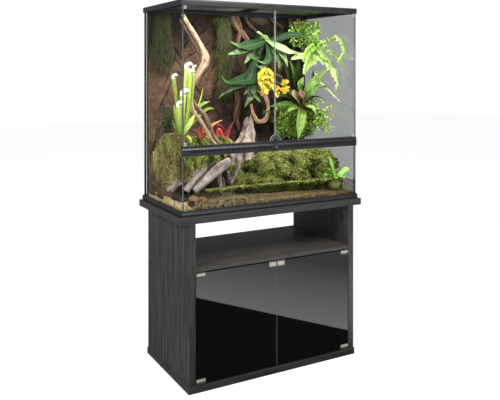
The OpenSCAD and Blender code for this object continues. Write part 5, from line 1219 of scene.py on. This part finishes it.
def fig():
    pile = Pile()
    u, v = np.meshgrid(np.linspace(0, 1, 90), np.linspace(0, 1, 60))
    x, z = 0.230 + 0.2092 * u, 1.012 + 0.142 * v
    rise = 0.016 + 0.062 * np.sin(math.pi * (0.08 + 0.84 * v)) * np.sin(math.pi * (0.1 + 0.6 * u))
    co = np.stack([x, GROW * MM - rise - 0.007 * (1 + waves(x, z, 61, 4, 70)), z], -1)
    # A near-black sheet under the leaves: painted shade in the gaps between them.
    pile.grid(co, 0.02, 0.0)
    for _ in range(3300):
        i, j = rng.integers(1, 58), rng.integers(1, 88)
        n = unit(np.cross(co[i, j + 1] - co[i, j - 1], co[i + 1, j] - co[i - 1, j]))
        n = n * np.sign(-n[1])
        d = unit(rng.normal(size=3) + (0, 0, -0.5) + n * 0.9)
        length = 11.5 * rng.uniform(0.7, 1.3)
        c = co[i, j] + n * rng.uniform(0, 0.004) + n * 0.022 * rng.random() ** 4
        face = unit(n + rng.normal(size=3) * 0.35 + (0, 0, 0.5))
        pile.leaf([c, c + d * length * 0.5 * MM, c + d * length * MM], (0.6, length * 0.36, 0.5), face, 0.2,
                  3, 2,
                  np.clip(0.36 + 0.5 * v[i, j] + rng.normal(0, 0.22), 0, 1))
    for _ in range(26):
        foot = co[rng.integers(30, 58), rng.integers(44, 88)]
        tip = foot + (rng.uniform(-0.01, 0.012), -rng.uniform(0.0, 0.03), rng.uniform(0.03, 0.09))
        tip[0] = min(tip[0], 0.434)
        sprig(pile, foot, (0, -0.008, 0.006), tip, 11, 10.5, (0.3, 1.0))
    for _ in range(44):
        foot = co[rng.integers(14, 58), rng.integers(62, 88)]
        tip = np.array((rng.uniform(0.396, 0.436), rng.uniform(-0.09, 0.08),
                        foot[2] + rng.uniform(-0.05, 0.07)))
        sprig(pile, foot, (0, 0, rng.uniform(0.012, 0.03)), tip, 17, 12.5, (0.45, 1.0))
    mat = foliage("small_leaf", (0.010, 0.032, 0.006), (0.20, 0.36, 0.034), (0.70, 0.86, 0.19), 0.46, 0.0,
                  150, 0.05)
    pile.build("fig_leaves", mat, "small_leaf", "creeping_fig")


def pitchers():
    pile, hoods, bush = Pile(), Pile(), Pile()
    foot = np.array((-0.397, -0.088, 1.052))
    for stops, low, mouth, tone in PITCHERS:
        path = route(foot, *stops)
        pile.tube(path, (4, low, (low + mouth) / 2, mouth), 12, 30, tone)
        top, wide = np.array(path[-1]), mouth * MM
        hood = [top + (-0.16 * wide, 0.7 * wide, -0.003)]
        hood += [top + np.array(shift) * wide for shift in ((0.16, 0.8, 0.9), (0.8, 0, 1.7),
                                                            (1.76, -1, 1.3))]
        hoods.leaf(hood, times(mouth, (0.45, 0.8, 1.05, 0.25)), (-0.1, -0.7, 0.7), -0.2, 10, 6, 0.9, 0.12)
        hoods.tube([top - (0, 0, 0.5 * wide), top], times(mouth, (0.98, 1.12)), 14, 4, 0.6)
    spray(pile, foot, PITCHER_BLADES, (0.5, 0.9, 1), (0.8,), (-0.2, -0.9, 0.2), 0.3, 16, 4)
    green = foliage("pitcher_leaf", (0.05, 0.11, 0.015), (0.27, 0.42, 0.04), (0.66, 0.78, 0.18), 0.42, 0.1)
    pile.build("pitcher_leaves", green, "pitcher_leaf", "pitcher_plants")
    for _ in range(30):
        start = np.array((rng.uniform(-0.435, -0.395), rng.uniform(-0.02, 0.09), 1.0))
        start[2] = left_hill(start[0] / MM, start[1] / MM) * MM
        end = start + (rng.uniform(-0.02, 0.03), rng.uniform(-0.03, 0.02), rng.uniform(0.06, 0.17))
        sprig(bush, start, (0, -0.006, 0.01), end, 16, 13, (0.0, 0.7))
    dim = foliage("bush_leaf", (0.008, 0.016, 0.004), (0.045, 0.085, 0.018), (0.16, 0.24, 0.06), 0.55, 0.0,
                  120, 0.02)
    bush.build("dark_bush", dim, "pitcher_leaf")
    pale = foliage("pitcher_hood", (0.55, 0.62, 0.35), (0.82, 0.86, 0.72), (0.95, 0.96, 0.92), 0.45, 0.0,
                   160, 0.1)
    hoods.build("pitcher_hoods", pale, "pitcher_leaf")


def red_plant():
    pile = Pile()
    hub = np.array((-0.188, 0.008, 0.998))
    spray(pile, hub, RED_LEAVES, (1, 1.6, 1.6), (1,), (0, -0.7, 0.7), 0.35, 14, 4, ruffle=0.05)
    p = Paint("red_leaf")
    spots = p.noise(140, 3)
    value = p.shifted(p.maths("MULTIPLY", p.mark("tone"), 0.8), spots, 0.5)
    p.set(Base_Color=p.ramp(value, (0.08, (0.22, 0.015, 0.05)), (0.38, (0.55, 0.04, 0.035)),
                            (0.62, (0.72, 0.15, 0.03)), (0.9, (0.80, 0.42, 0.16))),
          Normal=p.bump(spots, 0.2, 0.0006), Roughness=0.35)
    pile.build("red_leaves", p.mat, "red_leaf", "red_bromeliad", thick=1.2)


def rosette():
    pile, hair = Pile(), Pile()
    hub = np.array((0.3733, -0.1685, 0.822))
    for turn, rise, reach, half, tone in ROSETTE:
        b = math.radians(rise)
        d = (compass(turn) * math.cos(b) + (0, 0, math.sin(b))) * reach
        path = [hub, hub + d * 0.4 + (0, 0, 0.006), hub + d * 0.8 + (0, 0, 0.008), hub + d]
        pile.leaf(path, (3, half * 0.8, half, half * 0.45), (0, -0.4, 1), 0.35, 14, 6, tone, 0.08)
    n = 260
    ways = rng.normal(size=(n, 3)) * (0.5, 0.5, 0.2) + (0, 0, -1)
    hair.blades(hub + rng.normal(size=(n, 3)) * (0.008, 0.008, 0.002), ways, 0.042, 0.0012, 0.1)
    thin = foliage("hair_root", (0.20, 0.19, 0.05), (0.46, 0.45, 0.14), (0.70, 0.69, 0.34), 0.6, 0.0, 200,
                   0.0)
    hair.build("rosette_roots", thin, "fern_leaf")
    mat = foliage("water_leaf", (0.04, 0.16, 0.02), (0.15, 0.42, 0.05), (0.45, 0.72, 0.16), 0.4, 0.15)
    pile.build("water_rosette", mat, "fern_leaf", "floating_rosette")


for plant in (staghorn, bromeliads, orchid, ferns, fig, pitchers, red_plant, rosette):
    plant()

# ---------- floor, light and air ----------


def sheet(name, corners, mat):
    """One flat face of the studio."""
    me = bpy.data.meshes.new(name)
    me.from_pydata(corners, [], [tuple(range(len(corners)))])
    me.materials.append(mat)
    made = linked(name, me)
    return made


FLOOR_Z = -0.0004
FLOOR = [(-14, -14, FLOOR_Z), (14, -14, FLOOR_Z), (14, 14, FLOOR_Z), (-14, 14, FLOOR_Z)]
floor = sheet("floor", FLOOR, Paint("floor").set(Base_Color=0.9, Roughness=0.9, Emission_Color=1.0,
                                                 Emission_Strength=0.42, Specular_IOR_Level=0.0))
floor.visible_glossy = False

world = bpy.data.worlds.new("studio")
scene.world = world
world.use_nodes = True
tree = world.node_tree
path = tree.nodes.new("ShaderNodeLightPath")
air = tree.nodes["Background"]
air.inputs["Color"].default_value = rgb(1.0)
air.inputs["Strength"].default_value = 0.6
for ray, strength in (("Is Glossy Ray", 0.08), ("Is Camera Ray", 1.0)):
    other = tree.nodes.new("ShaderNodeBackground")
    other.inputs["Color"].default_value = rgb(1.0)
    other.inputs["Strength"].default_value = strength
    both = tree.nodes.new("ShaderNodeMixShader")
    tree.links.new(path.outputs[ray], both.inputs[0])
    tree.links.new(air.outputs[0], both.inputs[1])
    tree.links.new(other.outputs[0], both.inputs[2])
    air = both
tree.links.new(air.outputs[0], tree.nodes["World Output"].inputs["Surface"])


def lamp(name, place, target, size, watts, shown=True):
    data = bpy.data.lights.new(name, "AREA")
    data.size = size
    data.energy = watts
    made = linked(name, data)
    made.location = place
    made.rotation_euler = (Vector(target) - Vector(place)).to_track_quat("-Z", "Y").to_euler()
    made.visible_camera = False
    made.visible_glossy = shown
    return data


lamp("key", (-3.1, -1.35, 2.7), (0, 0, 0.9), 1.2, 78)
lamp("tank", (0.5, -1.9, 2.5), (0.05, 0.05, 1.15), 0.7, 36)
hood = lamp("hood", (0.0, -0.06, 1.612), (0.0, 0.02, 0.9), 0.75, 7.5, False)
hood.shape = "RECTANGLE"
hood.size_y = 0.3


def glow(name, corners, near, far, way=(0, 1, 0), ends=(-1.0, -2.0)):
    """A bright card that only shows in gloss; it fades from near to far along a direction."""
    p = Paint(name)
    along = p.add("VectorMath", {0: p.place, 1: way}, operation="DOT_PRODUCT").outputs["Value"]
    fade = p.add("MapRange", {"Value": along, "From Min": ends[0], "From Max": ends[1], "To Min": near,
                              "To Max": far})
    made = sheet(name, corners, p.surface(p.add("Emission", {"Strength": fade.outputs[0]})))
    for ray in ("camera", "diffuse", "transmission", "volume_scatter", "shadow"):
        setattr(made, "visible_" + ray, False)


def mirrored(u, v):
    """The floor point that the cabinet doors mirror at u, v of the picture."""
    x, y, z = at(u, v, -239)
    t = z / (EYE[2] - z)
    return x + t * (x - EYE[0]), y - t * (y - EYE[1])


# the floor card lies behind a slanting line that the doors mirror in the photograph
(ax, ay), (bx, by) = mirrored(196, 298), mirrored(347, 330.5)
slope = (by - ay) / (bx - ax)
LEFT, RIGHT, FRONT, FAR = -0.9, 2.2, -0.3, -6.0
start = ay - slope * ax
plan = ((LEFT, start + slope * LEFT), (ax + (FRONT - ay) / slope, FRONT), (RIGHT, FRONT),
        (RIGHT, FAR), (LEFT, FAR))
glow("card", [(x, y, 0.003) for x, y in plan], 3.15, 0.95, (-slope, 1, 0), (start, start - 2.1))
glow("rear_card", [(-2.0, 2.6, 0.0), (5.0, 2.6, 0.0), (5.0, 2.6, 2.6), (-2.0, 2.6, 2.6)], 0.25, 0.25)
glow("side_card", [(-4.2, -2.5, 0.2), (-4.2, 3.5, 0.2), (-4.2, 3.5, 3.6), (-4.2, -2.5, 3.6)], 0.28, 0.28)
